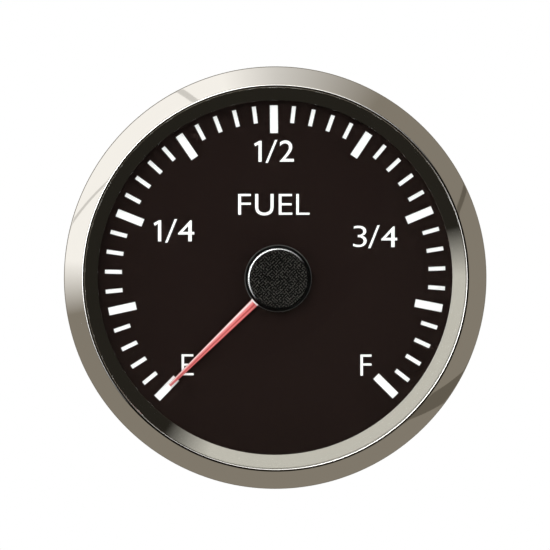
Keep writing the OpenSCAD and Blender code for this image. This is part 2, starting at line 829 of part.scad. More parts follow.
module board_standoffs() {
    foot = rear_board_z + board_t;
    color("goldenrod") stand() at_standoffs() difference() {
        union() {
            translate([0, 0, foot]) cylinder(r = standoff_out_r, h = board_space, $fn = 6);
            tube(screw_r, rear_board_z - standoff_screw_l, standoff_screw_l + board_t);
        }
        tube(screw_r + press_gap, front_board_z - board_screw_l - 1, board_screw_l + 2);
    }
}

module link_strips() {
    color("#1b1b1b") stand() for (z = [front_board_z - link_strip_h, rear_board_z + board_t]) difference() {
        block(link_count * link_pitch, link_strip_h, z, link_strip_h, [0, link_y]);
        at_link_pins() block(link_pin_w, link_pin_w, z - 1, link_strip_h + 2);
    }
}

module link_pins() {
    color("gold") stand() at_link_pins()
        block(link_pin_w, link_pin_w, rear_board_z, front_board_z + board_t - rear_board_z);
}

module at_pins() {
    for (i = [0 : pin_count - 1])
        translate([(i - (pin_count - 1) / 2) * pin_pitch, 0, 0]) children();
}

module rear_board() {
    color("darkgreen") stand() difference() {
        board(rear_board_z);
        at_pins() block(pin_w + 0.2, pin_w + 0.2, rear_board_z - 1, board_t + 2);
    }
}

// Things soldered to the front of the rear board
module on_rear_board(at) {
    stand() translate([at[0], at[1], rear_board_z + board_t]) children();
}

module microcontroller() {
    color("#222222") on_rear_board(chip_at) difference() {
        union() {
            block(chip_w, chip_w, chip_stand, chip_h);
            for (turn = [0 : 90 : 270], i = [-3 : 3]) rotate([0, 0, turn])
                block(chip_lead_w, chip_lead_l + 0.1, 0, lead_t,
                    [i * chip_lead_pitch, (chip_w + chip_lead_l) / 2 - 0.05]);
        }
        translate([0.9 - chip_w / 2, chip_w / 2 - 0.9, 0]) tube(0.4, chip_h, 1);
    }
}

module voltage_regulator() {
    color("#222222") on_rear_board(regulator_at) union() {
        block(regulator_size[0], regulator_size[1], 0, regulator_size[2]);
        block(regulator_size[0] - 1, 1.4, 0, lead_t, [0, regulator_size[1] / 2 + 0.6]);
        for (side = [-1, 1]) block(0.8, 2.4, 0, lead_t, [side * 2.3, -regulator_size[1] / 2 - 1]);
    }
}

module capacitor() {
    base_h = 0.9;
    color("silver") on_rear_board(capacitor_at) union() {
        block(capacitor_base, capacitor_base, 0, base_h);
        tube(capacitor_r, base_h, capacitor_h - base_h);
    }
}

module diode() {
    color("#222222") on_rear_board(diode_at) union() {
        block(diode_size[0], diode_size[1], chip_stand, diode_size[2]);
        block(diode_size[0] + 1.1, diode_size[1] - 1.1, 0, lead_t);
    }
}

module resistors() {
    first = -(resistor_count - 1) / 2 * resistor_pitch;
    color("#2a2a2a") on_rear_board(resistor_at) for (i = [0 : resistor_count - 1])
        block(resistor_size[0], resistor_size[1], 0, resistor_size[2], [first + i * resistor_pitch, 0]);
}

module socket_hole(grow) {
    w = socket_w + 2 * socket_wall + 2 * grow;
    h = socket_h + 2 * socket_wall + 2 * grow;
    rounded_rect(-w / 2, -h / 2, w / 2, h / 2, 1.5);
}

module connector_shell() {
    base_z = rear_in_z + seal_t;
    color("#1b1b1b") stand() difference() {
        union() {
            translate([0, 0, rear_z - socket_l])
                linear_extrude(base_z + cut - rear_z + socket_l) socket_hole(0);
            translate([0, 0, base_z]) linear_extrude(socket_flange_t) socket_hole(socket_flange_w);
            block(latch_w, 2 * latch_h, rear_z - socket_l + 2, 2, [0, socket_h / 2 + socket_wall]);
        }
        block(socket_w, socket_h, rear_z - socket_l - 1, socket_l + 1);
        at_pins() block(pin_w, pin_w, rear_z - 1, rear_wall + seal_t + socket_flange_t + 2);
    }
}

module connector_seal() {
    color("#7a2f1d") stand() difference() {
        translate([0, 0, rear_in_z]) linear_extrude(seal_t) socket_hole(socket_flange_w);
        translate([0, 0, rear_in_z - 1]) linear_extrude(seal_t + 2) socket_hole(seat_gap);
    }
}

module connector_pins() {
    color("gold") stand() at_pins() block(pin_w, pin_w, pin_tip_z, rear_board_z + board_t - pin_tip_z);
}

module case() {
    color("#1d1d1f") stand() difference() {
        union() {
            rotate_extrude($fn = 180) polygon([
                [0, rear_in_z],
                [bore_r, rear_in_z],
                [bore_r, dial_z],
                [cup_in_r, dial_z],
                [cup_in_r, lens_z],
                [cup_r, lens_z],
                [cup_r, flange_z],
                [shoulder_r, flange_z],
                [shoulder_r, gasket_proud],
                [barrel_r, gasket_proud],
                [barrel_r, rear_z + barrel_chamfer],
                [barrel_r - barrel_chamfer, rear_z],
                [0, rear_z]
            ]);
            at_standoffs() tube(boss_r, rear_in_z - cut, rear_board_z - rear_in_z + cut);
            at_studs() tube(stud_boss_r, rear_z - stud_boss_h, stud_boss_h + cut);
            block(dial_key_w, cup_in_r - key_r, dial_z, diffuser_t + mask_t,
                [0, -(cup_in_r + key_r) / 2 - key_sink]);
        }
        translate([0, 0, rear_z - 1]) linear_extrude(rear_wall + 2) socket_hole(seat_gap);
        at_studs() tube(stud_r + press_gap, rear_z - stud_boss_h - 1, rear_wall + stud_boss_h + 2);
        at_standoffs() tube(screw_r + press_gap, rear_board_z - standoff_screw_l - 1, standoff_screw_l + 2);
    }
}

module panel_gasket() {
    color("black") stand() tube(gasket_out_r, 0, panel_gasket_t, gasket_in_r);
}

module mounting_studs() {
    color("silver") stand() at_studs() union() {
        tube(stud_r, rear_z - stud_l + 0.5, stud_l - 0.5 + rear_wall + cut);
        translate([0, 0, rear_z - stud_l]) cylinder(r1 = stud_r - 0.5, r2 = stud_r, h = 0.5);
        tube(stud_head_r, rear_in_z, stud_head_h);
    }
}

// Side view of the bracket's strip, drawn with its legs pointing up
module bracket_side() {
    outer = bracket_bend + bracket_t;
    difference() {
        rounded_rect(-leg_out_x, crossbar_z, leg_out_x, -panel_t + outer, outer);
        rounded_rect(-leg_in_x, crossbar_z + bracket_t, leg_in_x, -panel_t + outer + 1, bracket_bend);
        translate([-leg_out_x - 1, -panel_t]) square([2 * leg_out_x + 2, outer + 2]);
    }
}

module bracket() {
    color("silver") stand() difference() {
        union() {
            translate([0, bracket_w / 2, 0]) rotate([90, 0, 0]) linear_extrude(bracket_w) bracket_side();
            tube(ring_hole_r + ring_band, crossbar_z, bracket_t);
        }
        tube(ring_hole_r, crossbar_z - 1, bracket_t + 2);
        at_studs() tube(stud_hole_r, crossbar_z - 1, bracket_t + 2);
    }
}

module flat_washers() {
    color("silver") stand() at_studs() tube(washer_r, flat_washer_z, flat_washer_t, washer_hole_r);
}

module spring_washers() {
    color("gray") stand() at_studs() difference() {
        tube(spring_r, spring_washer_z, spring_washer_t, washer_hole_r);
        rotate([0, 0, 35]) translate([0, -spring_split / 2, spring_washer_z - 1])
            cube([spring_r + 1, spring_split, spring_washer_t + 2]);
    }
}

// Knurled thumb nut on the stud at one side
module thumb_nut(side) {
    flutes = [
        for (i = [0 : 2 * knurl_count - 1])
        (i % 2 == 0 ? nut_r : nut_r - 0.35) * [cos(180 / knurl_count * i), sin(180 / knurl_count * i)]
    ];
    color("#b8a05a") stand() translate([side * stud_x, 0, 0]) difference() {
        union() {
            translate([0, 0, nut_z]) linear_extrude(nut_h - nut_collar_h) polygon(flutes);
            tube(nut_collar_r, nut_z, nut_h);
        }
        tube(stud_r + nut_gap, nut_z - 1, nut_h + 2);
    }
}

module nut_left() {
    thumb_nut(-1);
}

module nut_right() {
    thumb_nut(1);
}

bezel();
lens();
lens_gasket();
reflector_ring();
dial_mask();
dial_diffuser();
pointer();
pointer_hub();
output_shaft();
output_gear();
intermediate_gear();
rotor_pinion();
rotor_magnet();
motor_cover();
motor_housing();
stator_core();
coil_bobbins();
coil_windings();
motor_pins();
light_chamber();
leds();
front_board();
board_screws();
board_standoffs();
link_strips();
link_pins();
rear_board();
microcontroller();
voltage_regulator();
capacitor();
diode();
resistors();
connector_shell();
connector_seal();
connector_pins();
case();
panel_gasket();
mounting_studs();
bracket();
flat_washers();
spring_washers();
nut_left();
nut_right();
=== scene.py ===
import json
import math

import bmesh
import bpy
from mathutils import Matrix, Vector


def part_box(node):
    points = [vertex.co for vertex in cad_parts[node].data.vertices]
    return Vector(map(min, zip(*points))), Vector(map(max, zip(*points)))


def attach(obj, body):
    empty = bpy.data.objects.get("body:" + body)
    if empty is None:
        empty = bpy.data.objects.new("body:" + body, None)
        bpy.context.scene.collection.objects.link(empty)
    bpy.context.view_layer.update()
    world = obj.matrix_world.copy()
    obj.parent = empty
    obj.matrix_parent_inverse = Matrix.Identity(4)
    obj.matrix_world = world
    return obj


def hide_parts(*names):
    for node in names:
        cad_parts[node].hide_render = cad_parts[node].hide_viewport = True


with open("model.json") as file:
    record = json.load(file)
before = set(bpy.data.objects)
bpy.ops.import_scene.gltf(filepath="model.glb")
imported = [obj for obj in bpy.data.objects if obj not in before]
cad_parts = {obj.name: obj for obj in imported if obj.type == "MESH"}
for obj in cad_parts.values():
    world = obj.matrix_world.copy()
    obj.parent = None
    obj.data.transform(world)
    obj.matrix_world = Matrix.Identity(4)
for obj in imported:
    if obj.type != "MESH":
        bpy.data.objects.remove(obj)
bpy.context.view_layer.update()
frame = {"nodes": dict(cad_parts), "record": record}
scene = bpy.context.scene
scene.view_settings.view_transform = 'Standard'
cadNodes = frame["nodes"]
bodyOf = {n: body for body, members in frame["record"]["behaviour"]["bodies"].items() for n in members}
print("frame loaded:", len(cadNodes), "nodes")

# The gauge is drawn lying on its back, in mm, facing +Z. This stands it up, in metres.
standUp = Matrix.Rotation(math.radians(90), 4, 'X') @ Matrix.Scale(0.001, 4)

def mathNode(nodes, links, operation, a, b=0):
    node = nodes.new("ShaderNodeMath")
    node.operation = operation
    for i, value in enumerate((a, b)):
        if isinstance(value, (int, float)):
            node.inputs[i].default_value = value
        else:
            links.new(value, node.inputs[i])
    return node.outputs[0]

def newMaterial(name):
    material = bpy.data.materials.new(name)
    material.use_nodes = True
    nodes, links = material.node_tree.nodes, material.node_tree.links
    return material, nodes, links, nodes["Principled BSDF"]

def placeMesh(bm, name, materials):
    mesh = bpy.data.meshes.new(name)
    bm.to_mesh(mesh)
    bm.free()
    for material in materials:
        mesh.materials.append(material)
    obj = bpy.data.objects.new(name, mesh)
    scene.collection.objects.link(obj)
    return obj

# Camera, a long lens at the photograph's viewing angle
cameraSettings = {
    "distance": 1.0,
    "lens": 446.4,
    "toTheLeft": 1.6,  # degrees off the gauge's axis
    "above": 2.0,
    "aim": (-0.000063, -0.0082, 0.000426),
}


def placeCamera(s):
    aim = Vector(s["aim"])
    side, up = math.radians(-s["toTheLeft"]), math.radians(s["above"])
    away = Vector((math.sin(side) * math.cos(up), -math.cos(side) * math.cos(up), math.sin(up)))
    data = bpy.data.cameras.new("gaugeCamera")
    data.lens = s["lens"]
    data.sensor_width = 36
    data.clip_start, data.clip_end = 0.05, 20
    camera = bpy.data.objects.new("gaugeCamera", data)
    scene.collection.objects.link(camera)
    camera.location = aim + away * s["distance"]
    camera.rotation_mode = 'QUATERNION'
    camera.rotation_quaternion = (-away).to_track_quat('-Z', 'Y')
    scene.camera = camera
    return away


towardCamera = placeCamera(cameraSettings)


# A seen level of 0 to 255 as a linear value
def linear(level):
    v = level / 255
    return v / 12.92 if v <= 0.04045 else ((v + 0.055) / 1.055) ** 2.4

# Strength of the white world
worldSettings = {"asLight": 0.5, "asBackground": 1.0}

def setWorld(s):
    world = bpy.data.worlds.new("studioWorld")
    scene.world = world
    world.use_nodes = True
    nodes, links = world.node_tree.nodes, world.node_tree.links
    back = nodes["Background"]
    back.inputs["Color"].default_value = (1, 1, 1, 1)
    path = nodes.new("ShaderNodeLightPath")
    seen = mathNode(nodes, links, 'MAXIMUM', path.outputs["Is Camera Ray"], path.outputs["Is Glossy Ray"])
    seen = mathNode(nodes, links, 'MAXIMUM', seen, path.outputs["Is Transmission Ray"])
    level = nodes.new("ShaderNodeMapRange")
    level.inputs["To Min"].default_value = s["asLight"]
    level.inputs["To Max"].default_value = s["asBackground"]
    links.new(seen, level.inputs["Value"])
    links.new(level.outputs["Result"], back.inputs["Strength"])

setWorld(worldSettings)

lampSettings = {
    # name: (place in m, size in m, watts)
    "keyLamp": ((-0.27, -0.78, 0.34), 0.45, 4.6),
    "fillLamp": ((0.60, -0.50, 0.15), 0.60, 2.2),
    "backLamp": ((0.15, 0.65, 0.55), 0.60, 4.5),
}


def addLamps(lamps):
    for name, (place, size, watts) in lamps.items():
        data = bpy.data.lights.new(name, 'AREA')
        data.shape = 'DISK'
        data.size = size
        data.energy = watts
        lamp = bpy.data.objects.new(name, data)
        lamp.location = place
        lamp.rotation_mode = 'QUATERNION'
        lamp.rotation_quaternion = Vector(place).to_track_quat('Z', 'Y')
        lamp.visible_glossy = lamp.visible_camera = False
        scene.collection.objects.link(lamp)


addLamps(lampSettings)

# Plain soft boxes round the gauge that show in its polished metal: a bright one at the upper left, a
# fill at the lower right for the ring, and a grey room. Heights are degrees in front of the dial's
# plane and levels are 0 to 255. Angles run clockwise from the top of the gauge: on "low" they are
# where the bezel's face shows the card, and on "high" where the ring's slope shows it.
cardSettings = {
    "radius": 0.6,
    "lowHeights": (-18, 31.5),
    "highHeights": (31.5, 46),
    "brightHeights": (46, 64),
    "frontHeights": (64, 86),
    "middleHeights": (86, 89.995),
    "rearHeights": (-78, -18),
    "lowTilt": 39.1,
    "highTilt": -26.6,
    "lowGain": 1.3,
    "highGain": 1.55,
    "low": [
        (0, 200), (30, 120), (260, 120), (275, 240), (345, 240), (360, 200),
    ],
    "high": [
        (0, 30), (75, 30), (90, 180), (200, 180), (215, 30), (360, 30),
    ],
    # the lamp that glints in rounded edges
    "bright": [
        (0, 0.5), (60, 0), (225, 0), (285, 1), (345, 1), (360, 0.5),
    ],
    "hubHeights": (53.5, 61.5),
    "hub": [
        (0, 0.5), (60, 0), (225, 0), (285, 1), (345, 1), (360, 0.5),
    ],
    "brightLevel": 7,
    "front": [(0, 130), (18, 130), (30, 38), (284, 38), (296, 130), (360, 130)],
    "middleLevel": 10,
    "rearLevel": 118,
    # thin slanting marks across the low card: at the outer edge, at the inner edge, width, level
    "streaks": [
        (60, 70, 2, 90), (110, 130, 10, 90), (275, 300, 2, 200), (330, 335, 2, 200),
    ],
}


def glowMaterial(name):
    material, nodes, links = newMaterial(name)[:3]
    nodes.clear()
    level = nodes.new("ShaderNodeVertexColor")
    level.layer_name = "glow"
    emit = nodes.new("ShaderNodeEmission")
    out = nodes.new("ShaderNodeOutputMaterial")
    links.new(level.outputs["Color"], emit.inputs["Color"])
    links.new(emit.outputs[0], out.inputs["Surface"])
    material.cycles.emission_sampling = 'NONE'
    return material


def onSphere(radius, angle, height):
    a, h = math.radians(angle), math.radians(height)
    return Vector((math.sin(a) * math.cos(h), -math.sin(h), math.cos(a) * math.cos(h))) * radius


# a grey level with a slight warm cast
def warm(level, gain):
    warmth = 12 * math.sin(math.pi * min(level, 200) / 240)
    shifted = (level + warmth * 0.6, level, level - warmth)
    return tuple(linear(max(0, min(255, v))) * gain for v in shifted) + (1,)


# where the line of sight goes from a face seen at this angle that leans outwards by this tilt
def shownIn(angle, tilt):
    a, t = math.radians(angle), math.radians(tilt)
    normal = Vector((math.sin(a) * math.sin(t), -math.cos(t), math.cos(a) * math.sin(t)))
    seen = (-towardCamera).reflect(normal)
    found = math.degrees(math.atan2(seen.x, seen.z))
    aim = angle if tilt > 0 else angle + 180
    return aim + (found - aim + 180) % 360 - 180


def addStrip(bm, glow, radius, heights, start, end, startColour, endColour, slant=0, steps=None):
    low = bm.verts.new(onSphere(radius, start, heights[0]))
    high = bm.verts.new(onSphere(radius, start + slant, heights[1]))
    low[glow] = high[glow] = startColour
    steps = steps or max(1, math.ceil((end - start) / 3))
    edge = bm.edges.new((low, high))
    known = set(bm.verts)
    bmesh.ops.spin(bm, geom=[low, high, edge], cent=(0, 0, 0), axis=(0, 1, 0),
                   angle=math.radians(end - start), steps=steps)
    made = [v for v in bm.verts if v not in known]
    for i, v in enumerate(made):
        share = (i // 2 + 1) / steps
        v[glow] = tuple(a + (b - a) * share for a, b in zip(startColour, endColour))


def hideFromCamera(card):
    card.visible_camera = card.visible_diffuse = card.visible_shadow = card.visible_volume_scatter = False


def addCards(s):
    material = glowMaterial("cardGlow")
    nearer = s["radius"] - 0.01  # in front of the other cards

    def plain(level):
        return warm(level, 1)

    def bright(share):
        return (share * s["brightLevel"],) * 3 + (1,)

    def row(name, heights, levels, colourOf, radius=s["radius"]):
        bm = bmesh.new()
        glow = bm.verts.layers.float_color.new("glow")
        for (start, first), (end, last) in zip(levels, levels[1:]):
            addStrip(bm, glow, radius, heights, start, end, colourOf(first), colourOf(last))
        hideFromCamera(saveStage(bm, name, material))

    row("lowCards", s["lowHeights"], [(shownIn(a, s["lowTilt"]), v) for a, v in s["low"]],
        lambda v: warm(v, s["lowGain"]))
    row("highCards", s["highHeights"], [(shownIn(a, s["highTilt"]), v) for a, v in s["high"]],
        lambda v: warm(v, s["highGain"]))
    row("brightCard", s["brightHeights"], s["bright"], bright)
    row("hubCard", s["hubHeights"], s["hub"], bright, nearer)
    row("rearCard", s["rearHeights"], [(a, s["rearLevel"]) for a in range(0, 361, 45)], plain)
    bm = bmesh.new()
    glow = bm.verts.layers.float_color.new("glow")
    for outer, inner, width, level in s["streaks"]:
        colour = warm(level, s["lowGain"])
        start, end = shownIn(outer, s["lowTilt"]), shownIn(inner, s["lowTilt"])
        addStrip(bm, glow, nearer, s["lowHeights"], start, start + width, colour, colour,
                 slant=end - start, steps=1)
    hideFromCamera(saveStage(bm, "cardStreaks", material))
    row("frontCard", s["frontHeights"], s["front"], plain)
    row("middleCard", s["middleHeights"], [(a, s["middleLevel"]) for a in range(0, 361, 45)], plain)

def saveStage(bm, name, material):
    obj = placeMesh(bm, name, [material])
    return obj

addCards(cardSettings)

floorSettings = {"radius": 0.9, "height": -0.12, "colour": (0.86, 0.86, 0.85), "patchScale": 6,
                 "patchShade": 0.97}


def addFloor(s):
    bm = bmesh.new()
    bmesh.ops.create_circle(bm, cap_ends=True, segments=96, radius=s["radius"])
    bm.transform(Matrix.Translation((0, 0, s["height"])))
    material, nodes, links, shader = newMaterial("paleFloor")
    coords = nodes.new("ShaderNodeTexCoord")
    noise = nodes.new("ShaderNodeTexNoise")
    noise.inputs["Scale"].default_value = s["patchScale"]
    ramp = nodes.new("ShaderNodeValToRGB")
    ramp.color_ramp.elements[0].color = tuple(c * s["patchShade"] for c in s["colour"]) + (1,)
    ramp.color_ramp.elements[1].color = s["colour"] + (1,)
    links.new(coords.outputs["Object"], noise.inputs["Vector"])
    links.new(noise.outputs["Fac"], ramp.inputs["Fac"])
    links.new(ramp.outputs["Color"], shader.inputs["Base Color"])
    shader.inputs["Roughness"].default_value = 0.8
    floor = saveStage(bm, "floor", material)
    floor.visible_glossy = floor.visible_transmission = False  # the polished metal shows the cards instead


addFloor(floorSettings)
print("studio ready")


# Surface effects, each a node group that several materials use
def newGroup(name, inputs, outputs):
    group = bpy.data.node_groups.new(name, "ShaderNodeTree")
    for label, kind, value in inputs:
        socket = group.interface.new_socket(name=label, in_out='INPUT', socket_type="NodeSocket" + kind)
        if value is not None:
            socket.default_value = value
    for label, kind in outputs:
        group.interface.new_socket(name=label, in_out='OUTPUT', socket_type="NodeSocket" + kind)
    given, out = group.nodes.new("NodeGroupInput"), group.nodes.new("NodeGroupOutput")
    return group, group.nodes, group.links, given, out


def finishGroup(nodes, links, given, out, vector):
    fine = nodes.new("ShaderNodeTexNoise")
    fine.inputs["Detail"].default_value = 4
    broad = nodes.new("ShaderNodeTexNoise")
    broad.inputs["Detail"].default_value = 3
    links.new(vector, fine.inputs["Vector"])
    links.new(vector, broad.inputs["Vector"])
    links.new(given.outputs["Scale"], fine.inputs["Scale"])
    links.new(mathNode(nodes, links, 'MULTIPLY', given.outputs["Scale"], 0.09), broad.inputs["Scale"])
    share = mathNode(nodes, links, 'MULTIPLY', broad.outputs["Fac"], given.outputs["Mottle"])
    colour = nodes.new("ShaderNodeMix")
    colour.data_type = 'RGBA'
    links.new(share, colour.inputs["Factor"])
    links.new(given.outputs["Colour"], colour.inputs["A"])
    links.new(given.outputs["Second Colour"], colour.inputs["B"])
    links.new(colour.outputs["Result"], out.inputs["Colour"])
    swing = mathNode(nodes, links, 'SUBTRACT', fine.outputs["Fac"], 0.5)
    spread = mathNode(nodes, links, 'MULTIPLY', swing, given.outputs["Spread"])
    links.new(mathNode(nodes, links, 'ADD', given.outputs["Roughness"], spread), out.inputs["Roughness"])
    bump = nodes.new("ShaderNodeBump")
    links.new(fine.outputs["Fac"], bump.inputs["Height"])
    links.new(given.outputs["Depth"], bump.inputs["Distance"])
    links.new(bump.outputs["Normal"], out.inputs["Normal"])


finishInputs = [
    ("Colour", "Color", (0.5, 0.5, 0.5, 1)),
    ("Second Colour", "Color", (0.4, 0.4, 0.4, 1)),
    ("Scale", "Float", 3000),
    ("Mottle", "Float", 0.5),
    ("Roughness", "Float", 0.5),
    ("Spread", "Float", 0.1),
    ("Depth", "Float", 0.00001),
]
finishOutputs = [("Colour", "Color"), ("Roughness", "Float"), ("Normal", "Vector")]


def buildMouldedGrain():
    group, nodes, links, given, out = newGroup("mouldedGrain", finishInputs, finishOutputs)
    coords = nodes.new("ShaderNodeTexCoord")
    finishGroup(nodes, links, given, out, coords.outputs["Object"])
    return group


def buildTurnedLines():
    group, nodes, links, given, out = newGroup("turnedLines", finishInputs, finishOutputs)
    coords = nodes.new("ShaderNodeTexCoord")
    split = nodes.new("ShaderNodeSeparateXYZ")
    links.new(coords.outputs["Object"], split.inputs[0])
    flat = nodes.new("ShaderNodeCombineXYZ")
    links.new(split.outputs["X"], flat.inputs["X"])
    links.new(split.outputs["Z"], flat.inputs["Z"])
    radius = nodes.new("ShaderNodeVectorMath")
    radius.operation = 'LENGTH'
    links.new(flat.outputs[0], radius.inputs[0])
    lines = nodes.new("ShaderNodeCombineXYZ")
    links.new(radius.outputs["Value"], lines.inputs["X"])
    links.new(split.outputs["Y"], lines.inputs["Y"])
    links.new(mathNode(nodes, links, 'MULTIPLY', split.outputs["X"], 0.01), lines.inputs["Z"])
    finishGroup(nodes, links, given, out, lines.outputs[0])
    return group


def buildBrushedLines():
    inputs = finishInputs + [("Stretch", "Vector", (1, 0.02, 1))]
    group, nodes, links, given, out = newGroup("brushedLines", inputs, finishOutputs)
    coords = nodes.new("ShaderNodeTexCoord")
    drawn = nodes.new("ShaderNodeVectorMath")
    drawn.operation = 'MULTIPLY'
    links.new(coords.outputs["Object"], drawn.inputs[0])
    links.new(given.outputs["Stretch"], drawn.inputs[1])
    finishGroup(nodes, links, given, out, drawn.outputs[0])
    return group


effects = {"grain": buildMouldedGrain(), "turned": buildTurnedLines(), "brushed": buildBrushedLines()}


def surface(name, effect, colour, second=None, scale=3000, mottle=0.5, roughness=0.5, spread=0.1,
            depth=0.00001, stretch=None, metallic=0.0, specular=0.5, coat=0.0, coatRoughness=0.1,
            ior=1.5, glow=0.0):
    material, nodes, links, shader = newMaterial(name)
    group = nodes.new("ShaderNodeGroup")
    group.node_tree = effects[effect]
    group.inputs["Colour"].default_value = tuple(colour) + (1,)
    group.inputs["Second Colour"].default_value = tuple(second or [c * 0.8 for c in colour]) + (1,)
    group.inputs["Scale"].default_value = scale
    group.inputs["Mottle"].default_value = mottle
    group.inputs["Roughness"].default_value = roughness
    group.inputs["Spread"].default_value = spread
    group.inputs["Depth"].default_value = depth
    if stretch:
        group.inputs["Stretch"].default_value = stretch
    links.new(group.outputs["Colour"], shader.inputs["Base Color"])
    links.new(group.outputs["Roughness"], shader.inputs["Roughness"])
    links.new(group.outputs["Normal"], shader.inputs["Normal"])
    shader.inputs["Metallic"].default_value = metallic
    shader.inputs["Specular IOR Level"].default_value = specular
    shader.inputs["IOR"].default_value = ior
    shader.inputs["Coat Weight"].default_value = coat
    shader.inputs["Coat Roughness"].default_value = coatRoughness
    shader.inputs["Emission Color"].default_value = (1, 1, 1, 1)
    shader.inputs["Emission Strength"].default_value = glow
    return material


polishedSteel = surface("polishedSteel", "turned", (0.78, 0.775, 0.76), (0.74, 0.735, 0.72), scale=9000,
                        mottle=0.4, roughness=0.04, spread=0.03, depth=0.0000002, metallic=1)
ringPlating = surface("ringPlating", "turned", (0.78, 0.775, 0.76), (0.74, 0.735, 0.72), scale=7000,
                      mottle=0.3, roughness=0.035, spread=0.02, depth=0.0000001, metallic=1)
dialBlack = surface("dialBlack", "grain", (0.0116, 0.0068, 0.0058), (0.013, 0.0078, 0.0068), scale=9000,
                    mottle=0.6, roughness=0.7, spread=0.1, depth=0.000002, specular=0.03)
# dialWhite and printWhite have glow=0.15: painted light, a faint glow that makes the white marks and print
# brighter than the lamps light them
dialWhite = surface("dialWhite", "grain", (0.96, 0.96, 0.955), (0.93, 0.93, 0.92), scale=6000, mottle=0.3,
                    roughness=0.5, spread=0.1, depth=0.000001, specular=0.3, glow=0.15)
printWhite = surface("printWhite", "grain", (0.97, 0.97, 0.965), (0.94, 0.94, 0.935), scale=12000, mottle=0.3,
                     roughness=0.55, spread=0.1, depth=0.000001, specular=0.3, glow=0.15)
caseBlack = surface("caseBlack", "grain", (0.022, 0.022, 0.024), (0.03, 0.03, 0.032), scale=5000, mottle=0.6,
                    roughness=0.46, spread=0.2, depth=0.000012)
socketBlack = surface("socketBlack", "grain", (0.018, 0.018, 0.018), (0.028, 0.028, 0.028), scale=6500,
                      mottle=0.6, roughness=0.38, spread=0.16, depth=0.000006)
blackRubber = surface("blackRubber", "grain", (0.017, 0.017, 0.017), (0.03, 0.03, 0.03), scale=4200,
                      mottle=0.8, roughness=0.78, spread=0.2, depth=0.00001, specular=0.3)
sealRubber = surface("sealRubber", "grain", (0.22, 0.06, 0.035), (0.15, 0.04, 0.025), scale=4200, mottle=0.8,
                     roughness=0.7, spread=0.2, depth=0.00001, specular=0.3)
shaftSteel = surface("shaftSteel", "brushed", (0.6, 0.61, 0.62), (0.5, 0.5, 0.51), scale=9000, mottle=0.6,
                     roughness=0.22, spread=0.12, depth=0.000001, stretch=(1, 0.04, 1), metallic=1)
gearPlastic = surface("gearPlastic", "grain", (0.8, 0.77, 0.68), (0.74, 0.7, 0.6), scale=3800, mottle=0.7,
                      roughness=0.42, spread=0.1, depth=0.000003)
magnetBlack = surface("magnetBlack", "grain", (0.06, 0.06, 0.065), (0.12, 0.12, 0.125), scale=7000,
                      mottle=0.9, roughness=0.5, spread=0.3, depth=0.000008, metallic=0.6)
motorPlastic = surface("motorPlastic", "grain", (0.62, 0.6, 0.54), (0.55, 0.52, 0.46), scale=4200, mottle=0.7,
                       roughness=0.48, spread=0.14, depth=0.000006)
coreSteel = surface("coreSteel", "brushed", (0.45, 0.46, 0.48), (0.3, 0.31, 0.34), scale=7000, mottle=0.8,
                    roughness=0.36, spread=0.2, depth=0.000004, stretch=(0.05, 1, 0.05), metallic=1)
bobbinWhite = surface("bobbinWhite", "grain", (0.82, 0.82, 0.79), (0.74, 0.74, 0.7), scale=4200, mottle=0.6,
                      roughness=0.42, spread=0.12, depth=0.000004)
goldPlated = surface("goldPlated", "brushed", (0.9, 0.66, 0.28), (0.8, 0.56, 0.22), scale=9000, mottle=0.6,
                     roughness=0.2, spread=0.1, depth=0.000001, stretch=(1, 0.05, 1), metallic=1)
turnedBrass = surface("turnedBrass", "brushed", (0.78, 0.58, 0.26), (0.66, 0.46, 0.19), scale=8000,
                      mottle=0.7, roughness=0.26, spread=0.14, depth=0.000002, stretch=(0.1, 1, 0.1),
                      metallic=1)
chipBlack = surface("chipBlack", "grain", (0.03, 0.03, 0.033), (0.045, 0.045, 0.048), scale=9000, mottle=0.8,
                    roughness=0.55, spread=0.2, depth=0.000008)
lampEpoxy = surface("lampEpoxy", "grain", (0.9, 0.82, 0.5), (0.95, 0.92, 0.78), scale=2500, mottle=0.9,
                    roughness=0.16, spread=0.06, depth=0.000001, coat=0.6, coatRoughness=0.05)
drawnCan = surface("drawnCan", "brushed", (0.8, 0.8, 0.79), (0.68, 0.68, 0.68), scale=8000, mottle=0.6,
                   roughness=0.24, spread=0.12, depth=0.000001, stretch=(0.08, 1, 0.08), metallic=1)
stripSteel = surface("stripSteel", "brushed", (0.62, 0.615, 0.6), (0.5, 0.495, 0.48), scale=5200, mottle=0.8,
                     roughness=0.3, spread=0.2, depth=0.000003, stretch=(0.03, 1, 1), metallic=1)
zincPlate = surface("zincPlate", "grain", (0.66, 0.67, 0.69), (0.56, 0.58, 0.62), scale=3600, mottle=0.9,
                    roughness=0.28, spread=0.16, depth=0.000002, metallic=1)
springSteel = surface("springSteel", "brushed", (0.3, 0.3, 0.31), (0.22, 0.22, 0.23), scale=6000, mottle=0.8,
                      roughness=0.36, spread=0.2, depth=0.000003, stretch=(1, 0.1, 1), metallic=1)
nutBrass = surface("nutBrass", "brushed", (0.76, 0.6, 0.33), (0.64, 0.48, 0.24), scale=6000, mottle=0.8,
                   roughness=0.24, spread=0.16, depth=0.000002, stretch=(0.2, 1, 0.2), metallic=1)


